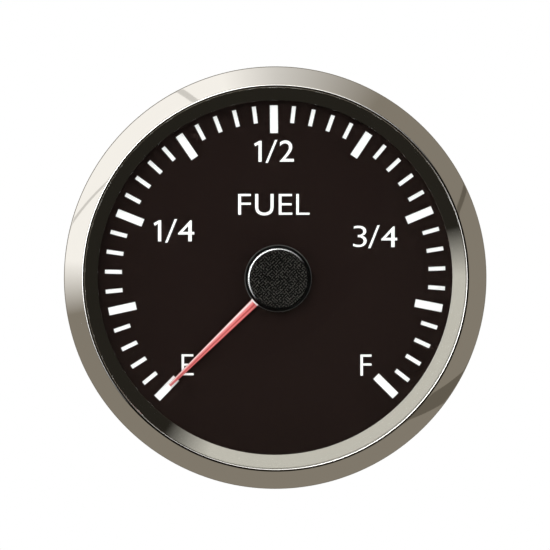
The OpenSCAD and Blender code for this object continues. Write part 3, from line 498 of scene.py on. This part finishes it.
def lensGlass():
    material, nodes, links, shader = newMaterial("lensGlass")
    shader.inputs["Base Color"].default_value = (0.985, 0.99, 0.985, 1)
    shader.inputs["Transmission Weight"].default_value = 1
    shader.inputs["IOR"].default_value = 1.47
    shader.inputs["Specular IOR Level"].default_value = 0.1  # coated against glare
    coords = nodes.new("ShaderNodeTexCoord")
    noise = nodes.new("ShaderNodeTexNoise")
    noise.inputs["Scale"].default_value = 160
    ramp = nodes.new("ShaderNodeMapRange")
    ramp.inputs["To Min"].default_value = 0.0
    ramp.inputs["To Max"].default_value = 0.02
    links.new(coords.outputs["Object"], noise.inputs["Vector"])
    links.new(noise.outputs["Fac"], ramp.inputs["Value"])
    links.new(ramp.outputs["Result"], shader.inputs["Roughness"])
    clear = nodes.new("ShaderNodeBsdfTransparent")
    clear.inputs["Color"].default_value = (0.97, 0.98, 0.975, 1)
    path = nodes.new("ShaderNodeLightPath")
    passes = mathNode(nodes, links, 'MAXIMUM', path.outputs["Is Shadow Ray"], path.outputs["Is Diffuse Ray"])
    passes = mathNode(nodes, links, 'MAXIMUM', passes, path.outputs["Is Glossy Ray"])
    mix = nodes.new("ShaderNodeMixShader")
    links.new(passes, mix.inputs["Fac"])
    links.new(shader.outputs[0], mix.inputs[1])
    links.new(clear.outputs[0], mix.inputs[2])
    links.new(mix.outputs[0], nodes["Material Output"].inputs["Surface"])
    return material


def boardGreen():
    material = surface("boardGreen", "grain", (0.02, 0.13, 0.045), (0.03, 0.17, 0.06), scale=2600, mottle=0.6,
                       roughness=0.28, spread=0.08, depth=0.000001, coat=0.4, coatRoughness=0.15)
    nodes, links = material.node_tree.nodes, material.node_tree.links
    shader = nodes["Principled BSDF"]
    coords = nodes.new("ShaderNodeTexCoord")
    tracks = nodes.new("ShaderNodeTexVoronoi")
    tracks.distance = 'MANHATTAN'
    tracks.feature = 'DISTANCE_TO_EDGE'
    tracks.inputs["Scale"].default_value = 420
    links.new(coords.outputs["Object"], tracks.inputs["Vector"])
    edge = mathNode(nodes, links, 'LESS_THAN', tracks.outputs["Distance"], 0.09)
    mix = nodes.new("ShaderNodeMix")
    mix.data_type = 'RGBA'
    mix.inputs["B"].default_value = (0.05, 0.25, 0.085, 1)
    links.new(edge, mix.inputs["Factor"])
    links.new(shader.inputs["Base Color"].links[0].from_socket, mix.inputs["A"])
    links.new(mix.outputs["Result"], shader.inputs["Base Color"])
    return material


def woundCopper():
    material = surface("woundCopper", "grain", (0.6, 0.23, 0.09), (0.48, 0.16, 0.06), scale=5200, mottle=0.6,
                       roughness=0.28, spread=0.1, depth=0.000001, metallic=0.7, coat=0.5)
    nodes, links = material.node_tree.nodes, material.node_tree.links
    shader = nodes["Principled BSDF"]
    coords = nodes.new("ShaderNodeTexCoord")
    turns = nodes.new("ShaderNodeTexWave")
    turns.bands_direction = 'X'
    turns.inputs["Scale"].default_value = 1500
    turns.inputs["Distortion"].default_value = 0.4
    links.new(coords.outputs["Object"], turns.inputs["Vector"])
    bump = nodes.new("ShaderNodeBump")
    bump.inputs["Distance"].default_value = 0.00004
    links.new(turns.outputs["Fac"], bump.inputs["Height"])
    links.new(bump.outputs["Normal"], shader.inputs["Normal"])
    return material


lensClear, greenBoard, copperWire = lensGlass(), boardGreen(), woundCopper()

slotFinish = {
    "polished_steel": polishedSteel, "lens_glass": lensClear, "black_rubber": blackRubber,
    "chrome_plated": ringPlating, "dial_black": dialBlack, "dial_white": dialWhite,
    "shaft_steel": shaftSteel, "gear_plastic": gearPlastic, "magnet": magnetBlack,
    "motor_plastic": motorPlastic, "core_steel": coreSteel, "copper_wire": copperWire,
    "white_plastic": bobbinWhite, "gold_plated": goldPlated, "board_green": greenBoard,
    "brass": turnedBrass, "chip_black": chipBlack, "lamp": lampEpoxy, "can": drawnCan,
    "case_black": caseBlack, "socket_black": socketBlack, "seal_rubber": sealRubber,
    "strip_steel": stripSteel, "zinc": zincPlate, "spring_steel": springSteel, "nut_brass": nutBrass,
}
slotOf = {}
for nodeName, obj in cadNodes.items():
    slotOf[nodeName] = obj.data.materials[0].name.split(".")[0]
    if slotOf[nodeName] in slotFinish:
        obj.data.materials[0] = slotFinish[slotOf[nodeName]]
print("finishes made:", len(slotFinish))


# Puts a piece on its body. It is drawn lying in mm, unless it is a copy of a node that already stands
def savePiece(bm, name, body, materials, stands=(), sharpAngle=35, inMetres=False):
    bmesh.ops.remove_doubles(bm, verts=bm.verts, dist=1e-6 if inMetres else 1e-4)
    bmesh.ops.recalc_face_normals(bm, faces=bm.faces)
    for edge in bm.edges:
        edge.smooth = len(edge.link_faces) == 2 and edge.calc_face_angle(0) < math.radians(sharpAngle)
    for face in bm.faces:
        face.smooth = True
    if not inMetres:
        bm.transform(standUp)
    obj = placeMesh(bm, name, materials)
    if "custom_normal" in obj.data.attributes:
        obj.data.attributes.remove(obj.data.attributes["custom_normal"])
    obj.modifiers.new("flatFaces", 'WEIGHTED_NORMAL').keep_sharp = True
    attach(obj, body)
    if stands:
        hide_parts(*stands)
    return obj

def addTo(whole, bm):
    part = bpy.data.meshes.new("part")
    bm.to_mesh(part)
    bm.free()
    whole.from_mesh(part)
    bpy.data.meshes.remove(part)

# Spins a profile of (radius, height) points. "rounded" lists (width in mm, segments, corners to round)
def spinProfile(profile, steps=192, rounded=(), bm=None, centre=(0, 0)):
    bm = bm or bmesh.new()
    others = set(bm.faces)
    corners = [bm.verts.new((centre[0] + r, centre[1], z)) for r, z in profile]
    bm.faces.new(corners)
    for width, segments, picks in rounded:
        bmesh.ops.bevel(bm, geom=[corners[i] for i in picks], offset=width, segments=segments, profile=0.5,
                        affect='VERTICES', material=-1)
    outline = [f for f in bm.faces if f not in others]
    edges = list({e for f in outline for e in f.edges})
    verts = list({v for e in edges for v in e.verts})
    bmesh.ops.delete(bm, geom=outline, context='FACES_ONLY')
    bmesh.ops.spin(bm, geom=verts + edges, cent=(centre[0], centre[1], 0), axis=(0, 0, 1),
                   angle=math.radians(360), steps=steps, use_merge=True)
    return bm


# Bezel: polished sheet with a sloping face, a rolled lip and an edge crimped at the rear
bezelSettings = {
    "outerR": 31, "rearZ": 1.0, "flangeZ": 1.6, "shoulderZ": 8.2, "rimR": 28.28, "rimZ": 10.3,
    "landDrop": 0.03, "lipR": 27.9, "lensTopZ": 9.15, "sheet": 0.6, "crimpR": 29, "bulge": 0.12,
    "faceBackZ": 9.55, "shoulderBackZ": 7.92,  # bends of the sheet's inner side
    "faceSteps": 12, "steps": 256,
}

def makeBezel(s):
    slope = Vector((s["rimR"] - s["outerR"], s["rimZ"] - s["shoulderZ"]))
    outward = Vector((slope.y, -slope.x)).normalized()
    corner = Vector((s["outerR"], s["shoulderZ"]))
    profile = [(s["crimpR"], s["rearZ"]), (s["outerR"], s["rearZ"])]
    for i in range(s["faceSteps"] + 1):
        t = i / s["faceSteps"]
        profile.append(tuple(corner + slope * t + outward * 4 * s["bulge"] * t * (1 - t)))
    profile += [
        (s["lipR"], s["rimZ"] - s["landDrop"]),
        (s["lipR"], s["lensTopZ"]),
        (s["lipR"] + s["sheet"], s["lensTopZ"]),
        (s["lipR"] + s["sheet"], s["faceBackZ"]),
        (s["outerR"] - s["sheet"], s["shoulderBackZ"]),
        (s["outerR"] - s["sheet"], s["flangeZ"]),
        (s["crimpR"], s["flangeZ"]),
    ]
    rear, shoulder, rim, lip, crimp = 1, 2, 2 + s["faceSteps"], 3 + s["faceSteps"], [len(profile) - 1, 0]
    rounded = ((0.5, 6, [rear]), (0.2, 6, [shoulder]), (0.06, 4, [rim]), (0.18, 8, [lip]), (0.15, 2, crimp))
    bm = spinProfile(profile, s["steps"], rounded)
    return savePiece(bm, "bezelShell", "gauge", [polishedSteel], ["bezel"])

makeBezel(bezelSettings)

# Reflector ring: bright wall and sloping face between the dial and the bezel's lip
ringSettings = {"showR": 26.05, "topR": 27.95, "wall": 0.8, "dialZ": 4.15, "slopeZ": 6.2, "topZ": 7.15,
                "backDrop": 0.3, "steps": 256}

def makeReflectorRing(s):
    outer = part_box("reflector_ring")[1].x * 1000
    backR, baseZ, brimZ = s["showR"] + s["wall"], s["dialZ"] + s["wall"], s["topZ"] - s["wall"]
    profile = [
        (s["showR"], s["dialZ"]), (outer - s["wall"], s["dialZ"]), (outer - s["wall"], baseZ),
        (backR, baseZ), (backR, s["slopeZ"] - s["backDrop"]), (s["topR"], brimZ), (outer, brimZ),
        (outer, s["topZ"]), (s["topR"], s["topZ"]), (s["showR"], s["slopeZ"]),
    ]
    slopeEdge = len(profile) - 1
    bm = spinProfile(profile, s["steps"], ((0.015, 2, [slopeEdge]),))
    return savePiece(bm, "dialSurround", "gauge", [ringPlating], ["reflector_ring"], sharpAngle=15)

makeReflectorRing(ringSettings)

# Seal between the ring and the lens, with rounded edges
sealSettings = {"innerR": 28.05, "rearZ": 7.15, "frontZ": 7.65, "edge": 0.14}


def makeLensSeal(s):
    inner, outer = s["innerR"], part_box("lens_gasket")[1].x * 1000
    profile = [(inner, s["rearZ"]), (outer, s["rearZ"]), (outer, s["frontZ"]), (inner, s["frontZ"])]
    bm = spinProfile(profile, 128, ((s["edge"], 3, [0, 1, 2, 3]),))
    return savePiece(bm, "lensSeal", "gauge", [blackRubber], ["lens_gasket"])

makeLensSeal(sealSettings)

# Lens: a flat disc with ground edges
lensSettings = {"rearZ": 7.65, "frontZ": 9.15, "edge": 0.2}

def makeLens(s):
    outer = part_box("lens")[1].x * 1000
    profile = [(0, s["rearZ"]), (outer, s["rearZ"]), (outer, s["frontZ"]), (0, s["frontZ"])]
    bm = spinProfile(profile, 192, ((s["edge"], 2, [1, 2]),))
    return savePiece(bm, "clearLens", "gauge", [lensClear], ["lens"], sharpAngle=20)

makeLens(lensSettings)
print("bezel, ring and lens made")

# Print on the dial: plain letters and fractions, each fitted to its own box, in mm on the dial
printSettings = {
    "height": 0.02,
    "sunk": 0.005,
    "dialZ": 4.15,
    "weight": {"U": 0.0, "2": 0.0, "4": 0.0, "3": -0.012, "E": -0.01, "F": -0.01, "L": -0.012},
    "one": [(1, 0), (1, 1), (0.7, 1), (0, 0.86), (0.15, 0.74), (0.58, 0.83), (0.58, 0)],
    "slash": [(0, 0), (0.2, 0), (1, 1), (0.8, 1)],
    "marks": [
        # character, left, right, bottom, top
        ("1", -3.07, -1.96, 16.99, 20.06), ("/", -1.39, 0.35, 16.83, 20.20), ("2", 0.68, 2.77, 17.00, 20.13),
        ("F", -5.41, -3.54, 9.21, 12.26), ("U", -2.91, -0.20, 9.10, 12.26), ("E", 0.55, 2.55, 9.20, 12.25),
        ("L", 3.13, 5.09, 9.20, 12.25),
        ("1", -17.83, -16.72, 5.30, 8.40), ("/", -16.14, -14.39, 5.12, 8.57),
        ("4", -14.23, -11.86, 5.30, 8.39),
        ("3", 11.50, 13.48, 4.44, 7.57), ("/", 13.71, 15.41, 4.27, 7.65), ("4", 15.64, 17.97, 4.43, 7.47),
        ("E", -13.73, -11.96, -14.39, -11.31), ("F", 12.58, 14.20, -14.49, -11.38),
    ],
}


def glyph(character, s):
    own = {"1": s["one"], "/": s["slash"]}.get(character)
    if own:
        bm = bmesh.new()
        bm.faces.new([bm.verts.new((x, y, 0)) for x, y in own])
        mesh = bpy.data.meshes.new("glyph")
        bm.to_mesh(mesh)
        bm.free()
        return mesh
    curve = bpy.data.curves.new("glyph", 'FONT')
    curve.body = character
    curve.offset = s["weight"][character]
    curve.resolution_u = 6
    holder = bpy.data.objects.new("glyph", curve)
    scene.collection.objects.link(holder)
    bpy.context.view_layer.update()
    mesh = bpy.data.meshes.new_from_object(holder.evaluated_get(bpy.context.evaluated_depsgraph_get()))
    bpy.data.objects.remove(holder)
    bpy.data.curves.remove(curve)
    return mesh


def printDial(s):
    made = bmesh.new()
    for character, left, right, bottom, top in s["marks"]:
        bm = bmesh.new()
        mesh = glyph(character, s)
        bm.from_mesh(mesh)
        bpy.data.meshes.remove(mesh)
        bmesh.ops.remove_doubles(bm, verts=bm.verts, dist=1e-5)
        xs, ys = [v.co.x for v in bm.verts], [v.co.y for v in bm.verts]
        for v in bm.verts:
            v.co.x = left + (v.co.x - min(xs)) / (max(xs) - min(xs)) * (right - left)
            v.co.y = bottom + (v.co.y - min(ys)) / (max(ys) - min(ys)) * (top - bottom)
            v.co.z = s["dialZ"] - s["sunk"]
        raised = bmesh.ops.extrude_face_region(bm, geom=bm.faces[:])
        front = [g for g in raised["geom"] if isinstance(g, bmesh.types.BMVert)]
        bmesh.ops.translate(bm, vec=(0, 0, s["height"]), verts=front)
        bmesh.ops.recalc_face_normals(bm, faces=bm.faces)
        addTo(made, bm)
    return savePiece(made, "dialPrint", "gauge", [printWhite], (), sharpAngle=20)


printDial(printSettings)
print("dial printed")

# Pointer: a ridged, see-through red arm under a black hub cap
pointerSettings = {
    "centre": (0.45, -0.15), "angle": 224.31, "aside": 0.104, "baseZ": 4.75, "topZ": 6.2, "length": 22.4,
    "rootW": 1.36, "tipW": 0.52, "rootH": 0.85, "tipH": 0.5, "edge": 0.05, "discR": 4.27, "discH": 0.85,
    "collarR": 1.6, "boreR": 0.77,
    "rootLine": 0.093, "rootColour": (1.0, 0.88, 0.88),  # painted highlight: a pale line where the arm leaves the hub
    # glow is painted light: the arm gives off a faint light in its own colours, though nothing lights it from
    # inside
    "glow": 0.12, "roughness": 0.12, "fadeFrom": 0.55, "tipAlpha": 0.72,
    # colours across the arm, from the edge that is above at rest to the lower one: the red of the arm with a
    # painted highlight along its upper face and painted shade in the dark bands at the edges and the middle
    # groove
    "stripes": [
        (0.0, (0.45, 0.05, 0.05)), (0.15, (1.0, 0.9, 0.9)), (0.35, (0.9, 0.25, 0.25)),
        (0.65, (0.45, 0.05, 0.05)), (0.85, (0.9, 0.25, 0.25)), (1.0, (0.45, 0.05, 0.05)),
    ],
}

def pointerRed(s):
    material, nodes, links, shader = newMaterial("pointerRed")
    across = nodes.new("ShaderNodeUVMap")
    across.uv_map = "across"
    split = nodes.new("ShaderNodeSeparateXYZ")
    links.new(across.outputs["UV"], split.inputs[0])
    # the ramp across the arm paints a highlight and bands of shade into its red
    ramp = nodes.new("ShaderNodeValToRGB")
    stops = ramp.color_ramp.elements
    stops[0].color = s["stripes"][0][1] + (1,)
    stops[1].color = s["stripes"][-1][1] + (1,)
    for place, colour in s["stripes"][1:-1]:
        stops.new(place).color = colour + (1,)
    links.new(split.outputs["Y"], ramp.inputs["Fac"])
    # paints a pale highlight across the arm's root, next to the hub
    edge = nodes.new("ShaderNodeMix")
    edge.data_type = 'RGBA'
    edge.inputs["B"].default_value = s["rootColour"] + (1,)
    links.new(mathNode(nodes, links, 'LESS_THAN', split.outputs["X"], s["rootLine"]), edge.inputs["Factor"])
    links.new(ramp.outputs["Color"], edge.inputs["A"])
    links.new(edge.outputs["Result"], shader.inputs["Base Color"])
    # painted glow in the arm's colours, the painted highlight included
    links.new(edge.outputs["Result"], shader.inputs["Emission Color"])
    shader.inputs["Emission Strength"].default_value = s["glow"]
    shader.inputs["Roughness"].default_value = s["roughness"]
    fade = nodes.new("ShaderNodeMapRange")
    fade.inputs["From Min"].default_value = s["fadeFrom"]
    fade.inputs["To Min"].default_value = 1.0
    fade.inputs["To Max"].default_value = s["tipAlpha"]
    links.new(split.outputs["X"], fade.inputs["Value"])
    links.new(fade.outputs["Result"], shader.inputs["Alpha"])
    return material

def makePointer(s):
    bm = bmesh.new()
    uv = bm.loops.layers.uv.new("across")
    start, w, h = s["discR"] - 1.0, s["rootW"], s["rootH"]
    shape = [(-w / 2, 0), (w / 2, 0), (w / 2, h * 0.4), (w * 0.08, h), (-w * 0.08, h), (-w / 2, h * 0.4)]
    root = [bm.verts.new((start, y, z)) for y, z in shape]
    edges = [bm.edges.new((root[i], root[(i + 1) % 6])) for i in range(6)]
    grown = bmesh.ops.extrude_edge_only(bm, edges=edges)
    tipVerts = [g for g in grown["geom"] if isinstance(g, bmesh.types.BMVert)]
    for v in tipVerts:
        v.co = Vector((s["length"], v.co.y * s["tipW"] / s["rootW"], v.co.z * s["tipH"] / s["rootH"]))
    bmesh.ops.holes_fill(bm, edges=bm.edges[:], sides=6)
    bmesh.ops.recalc_face_normals(bm, faces=bm.faces)
    for face in bm.faces:
        for loop in face.loops:
            share = (loop.vert.co.x - start) / (s["length"] - start)
            width = s["rootW"] + (s["tipW"] - s["rootW"]) * share
            loop[uv].uv = (share, 0.5 + loop.vert.co.y / width)
    sharp = [e for e in bm.edges if e.calc_face_angle(0) > 0.3]
    bmesh.ops.bevel(bm, geom=sharp, offset=s["edge"], segments=2, profile=0.5, affect='EDGES', material=-1,
                    clamp_overlap=True)
    bmesh.ops.translate(bm, vec=(0, s["aside"], 0), verts=bm.verts)
    turn = Matrix.Rotation(math.radians(s["angle"]), 4, 'Z')
    bm.transform(Matrix.Translation((*s["centre"], s["baseZ"])) @ turn)
    disc = [(s["boreR"], s["baseZ"]), (s["discR"], s["baseZ"]), (s["discR"], s["baseZ"] + s["discH"]),
            (s["collarR"], s["baseZ"] + s["discH"]), (s["collarR"], s["topZ"]), (s["boreR"], s["topZ"])]
    spinProfile(disc, 96, ((0.12, 3, [2]),), bm=bm, centre=s["centre"])
    return savePiece(bm, "pointerArm", "pointer", [pointerRed(s)], ["pointer"], sharpAngle=25)

# Hub cap: a skirt on a thin foot, a narrow bevelled edge and a grained top
hubSettings = {
    "centre": (0.45, -0.15), "baseZ": 4.6, "footR": 4.94, "footH": 0.16, "radius": 4.83, "skirtZ": 5.7,
    "edgeR": 4.477, "edgeZ": 6.737, "topR": 4.27, "topZ": 6.8, "wall": 0.55, "roof": 0.6, "ledge": 0.4,
    "patchScale": 2900, "lineScale": 1900, "breakScale": 6000, "waverScale": 1300, "waver": 0.9,
    "lineEdges": (0.27, 0.1), "breakEdges": (0.4, 0.56), "groundColour": (0.0002, 0.0002, 0.0002),
    "lineColour": (0.06, 0.0545, 0.049), "footColour": (0.085, 0.085, 0.082),
}

# Woven-looking grain: short diagonal lines that change direction from patch to patch
def hubTop(s):
    material, nodes, links, shader = newMaterial("hubTopGrain")
    coords = nodes.new("ShaderNodeTexCoord")
    split = nodes.new("ShaderNodeSeparateXYZ")
    links.new(coords.outputs["Object"], split.inputs[0])

    def noise(scale):
        node = nodes.new("ShaderNodeTexNoise")
        node.inputs["Scale"].default_value = scale
        links.new(coords.outputs["Object"], node.inputs["Vector"])
        return node.outputs["Fac"]

    def between(value, low, high):
        node = nodes.new("ShaderNodeMapRange")
        node.inputs["From Min"].default_value = low
        node.inputs["From Max"].default_value = high
        links.new(value, node.inputs["Value"])
        return node.outputs["Result"]

    def combine(operation, a, b=0):
        return mathNode(nodes, links, operation, a, b)

    lean = nodes.new("ShaderNodeMix")
    links.new(combine('GREATER_THAN', noise(s["patchScale"]), 0.5), lean.inputs["Factor"])
    links.new(combine('ADD', split.outputs["X"], split.outputs["Z"]), lean.inputs["A"])
    links.new(combine('SUBTRACT', split.outputs["X"], split.outputs["Z"]), lean.inputs["B"])
    along = combine('MULTIPLY', lean.outputs["Result"], s["lineScale"])
    along = combine('ADD', along, combine('MULTIPLY', noise(s["waverScale"]), s["waver"]))
    away = combine('ABSOLUTE', combine('SUBTRACT', combine('FRACT', along), 0.5))
    line = between(away, *s["lineEdges"])
    dash = combine('MULTIPLY', line, between(noise(s["breakScale"]), *s["breakEdges"]))
    tone = nodes.new("ShaderNodeMix")
    tone.data_type = 'RGBA'
    tone.inputs["A"].default_value = s["groundColour"] + (1,)
    tone.inputs["B"].default_value = s["lineColour"] + (1,)
    links.new(dash, tone.inputs["Factor"])
    links.new(tone.outputs["Result"], shader.inputs["Base Color"])
    shader.inputs["Roughness"].default_value = 0.6
    shader.inputs["Specular IOR Level"].default_value = 0.05
    bump = nodes.new("ShaderNodeBump")
    bump.inputs["Distance"].default_value = 0.00001
    links.new(dash, bump.inputs["Height"])
    links.new(bump.outputs["Normal"], shader.inputs["Normal"])
    return material

def makeHub(s):
    inner = s["radius"] - s["wall"]
    footZ, roofZ = s["baseZ"] + s["footH"], s["topZ"] - s["roof"]
    profile = [
        (inner, s["baseZ"]), (s["footR"], s["baseZ"]), (s["footR"], footZ), (s["radius"], footZ),
        (s["radius"], s["skirtZ"]), (s["edgeR"], s["edgeZ"]), (s["topR"], s["topZ"]), (0, s["topZ"]),
        (0, roofZ), (inner - s["ledge"], roofZ), (inner, s["skirtZ"]),
    ]
    bm = spinProfile(profile, 128, ((0.05, 4, [1, 2]), (0.02, 3, [5])), centre=s["centre"])
    bmesh.ops.remove_doubles(bm, verts=bm.verts, dist=1e-4)
    for face in bm.faces:
        heights = [v.co.z for v in face.verts]
        if min(heights) > s["topZ"] - 1e-4:
            face.material_index = 1
        elif max(heights) < footZ + 1e-3:
            face.material_index = 3
        elif min(heights) < s["edgeZ"] - 0.1:
            face.material_index = 2
    edge = surface("hubEdge", "grain", (0.004, 0.004, 0.004), (0.006, 0.006, 0.006), scale=9000, mottle=0.5,
                   roughness=0.1, spread=0.06, depth=0.0000003, specular=1.0, ior=2.0)
    side = surface("hubSide", "grain", (0.0015, 0.0015, 0.0015), (0.003, 0.003, 0.003), scale=9000,
                   mottle=0.5, roughness=0.7, spread=0.1, depth=0.000001, specular=0.1)
    # the foot's grey is a painted highlight: a pale ring round the base of the black cap
    foot = surface("hubFoot", "grain", s["footColour"], scale=7000, mottle=0.8, roughness=0.45, spread=0.1,
                   depth=0.000001, specular=0.3)
    return savePiece(bm, "hubCap", "pointer", [edge, hubTop(s), side, foot], ["pointer_hub"], sharpAngle=12)

makePointer(pointerSettings)
makeHub(hubSettings)
print("pointer and hub made")


# Pieces whose CAD shape stays and gets softened edges
softSettings = {
    # node: (edge width in mm, segments)
    "case": (0.25, 3),
    "bracket": (0.22, 3),
    "connector_shell": (0.25, 3),
    "panel_gasket": (0.3, 3),
    "flat_washers": (0.12, 2),
    "spring_washers": (0.1, 2),
    "motor_housing": (0.25, 2),
    "motor_cover": (0.15, 2),
    "light_chamber": (0.2, 2),
    "board_standoffs": (0.1, 2),
    "microcontroller": (0.06, 2),
    "voltage_regulator": (0.1, 2),
    "capacitor": (0.25, 3),
    "diode": (0.1, 2),
    "connector_pins": (0.1, 2),
    "coil_bobbins": (0.08, 2),
}


def softenNode(node, width, segments):
    bm = bmesh.new()
    bm.from_mesh(cadNodes[node].data)
    bmesh.ops.remove_doubles(bm, verts=bm.verts, dist=2e-6)
    bmesh.ops.dissolve_limit(bm, angle_limit=math.radians(0.6), verts=bm.verts, edges=bm.edges)
    corners = [e for e in bm.edges if len(e.link_faces) == 2 and e.calc_face_angle(0) > math.radians(32)]
    bmesh.ops.bevel(bm, geom=corners, offset=width / 1000, segments=segments, profile=0.5, affect='EDGES',
                    material=-1, clamp_overlap=True)
    parts = "".join(w.capitalize() for w in node.split("_"))
    name = parts[0].lower() + parts[1:] + "Soft"
    return savePiece(bm, name, bodyOf[node], [cadNodes[node].data.materials[0]], [node], inMetres=True)


for nodeName, (width, segments) in softSettings.items():
    softenNode(nodeName, width, segments)
print("edges softened:", len(softSettings))

# Studs: screwed rod with rolled threads and a chamfered tip
studSettings = {
    "x": 19.0, "crest": 1.94, "root": 1.52, "pitch": 0.7, "tipZ": -58, "topZ": -36.4, "headR": 3.2,
    "headH": 1.2, "steps": 36, "chamfer": 0.5,
}

def makeStuds(s):
    # one turn of the thread: (share of the pitch, radius)
    thread = ((0, s["root"]), (0.12, s["root"]), (0.5, s["crest"]), (0.62, s["crest"]))
    headZ = s["topZ"] + s["headH"]
    whole = bmesh.new()
    for side in (-1, 1):
        bm = bmesh.new()
        z, line = s["tipZ"] - s["pitch"], []
        while z < s["topZ"] + s["pitch"]:
            line += [bm.verts.new((r, 0, z + share * s["pitch"])) for share, r in thread]
            z += s["pitch"]
        edges = [bm.edges.new(pair) for pair in zip(line, line[1:])]
        bmesh.ops.spin(bm, geom=line + edges, cent=(0, 0, 0), axis=(0, 0, 1), angle=math.radians(360),
                       steps=s["steps"], dvec=(0, 0, s["pitch"] / s["steps"]))
        bmesh.ops.remove_doubles(bm, verts=bm.verts, dist=1e-3)
        for place, normal in ((s["tipZ"], -1), (s["topZ"], 1)):
            bmesh.ops.bisect_plane(bm, geom=bm.verts[:] + bm.edges[:] + bm.faces[:], plane_co=(0, 0, place),
                                   plane_no=(0, 0, normal), clear_outer=True)
        for v in bm.verts:
            limit = s["crest"] - s["chamfer"] + (v.co.z - s["tipZ"])
            r = math.hypot(v.co.x, v.co.y)
            if r > limit:
                v.co.x, v.co.y = v.co.x * limit / r, v.co.y * limit / r
        bmesh.ops.holes_fill(bm, edges=[e for e in bm.edges if e.is_boundary], sides=0)
        spinProfile([(0, s["topZ"]), (s["headR"], s["topZ"]), (s["headR"], headZ), (0, headZ)], 48,
                    ((0.2, 2, [2]),), bm=bm)
        bm.transform(Matrix.Translation((side * s["x"], 0, 0)))
        addTo(whole, bm)
    return savePiece(whole, "threadedStuds", "gauge", [zincPlate], ["mounting_studs"])

makeStuds(studSettings)

# Knurled nuts
nutSettings = {
    "x": 19.0, "rearZ": -52.0, "knurlH": 4.6, "height": 6.0, "radius": 5.2, "collarR": 4.2, "bore": 2.0,
    "boreEdge": 0.35, "knurls": 24, "knurlDepth": 0.32, "knurlReach": 0.14, "edge": 0.45,
}

def makeNut(side, s):
    rear, ledge, front = s["rearZ"], s["rearZ"] + s["knurlH"], s["rearZ"] + s["height"]
    mouth = s["bore"] + s["boreEdge"]
    profile = [
        (mouth, rear), (s["radius"], rear), (s["radius"], ledge), (s["collarR"], ledge),
        (s["collarR"], front), (mouth, front), (s["bore"], front - s["boreEdge"]),
        (s["bore"], rear + s["boreEdge"]),
    ]
    rounded = ((s["edge"], 3, [1, 2]), (0.2, 2, [4]), (0.15, 2, [3]))
    bm = spinProfile(profile, s["knurls"] * 8, rounded)
    for v in bm.verts:
        r = math.hypot(v.co.x, v.co.y)
        if r > s["radius"] - s["knurlReach"]:
            wave = abs(math.sin(s["knurls"] / 2 * math.atan2(v.co.y, v.co.x)))
            new = r - s["knurlDepth"] * (1 - wave)
            v.co.x, v.co.y = v.co.x * new / r, v.co.y * new / r
    bm.transform(Matrix.Translation((side * s["x"], 0, 0)))
    node, name = ("nut_left", "thumbNutLeft") if side < 0 else ("nut_right", "thumbNutRight")
    return savePiece(bm, name, node, [nutBrass], [node], sharpAngle=30)

for side in (-1, 1):
    makeNut(side, nutSettings)
print("studs and nuts made")
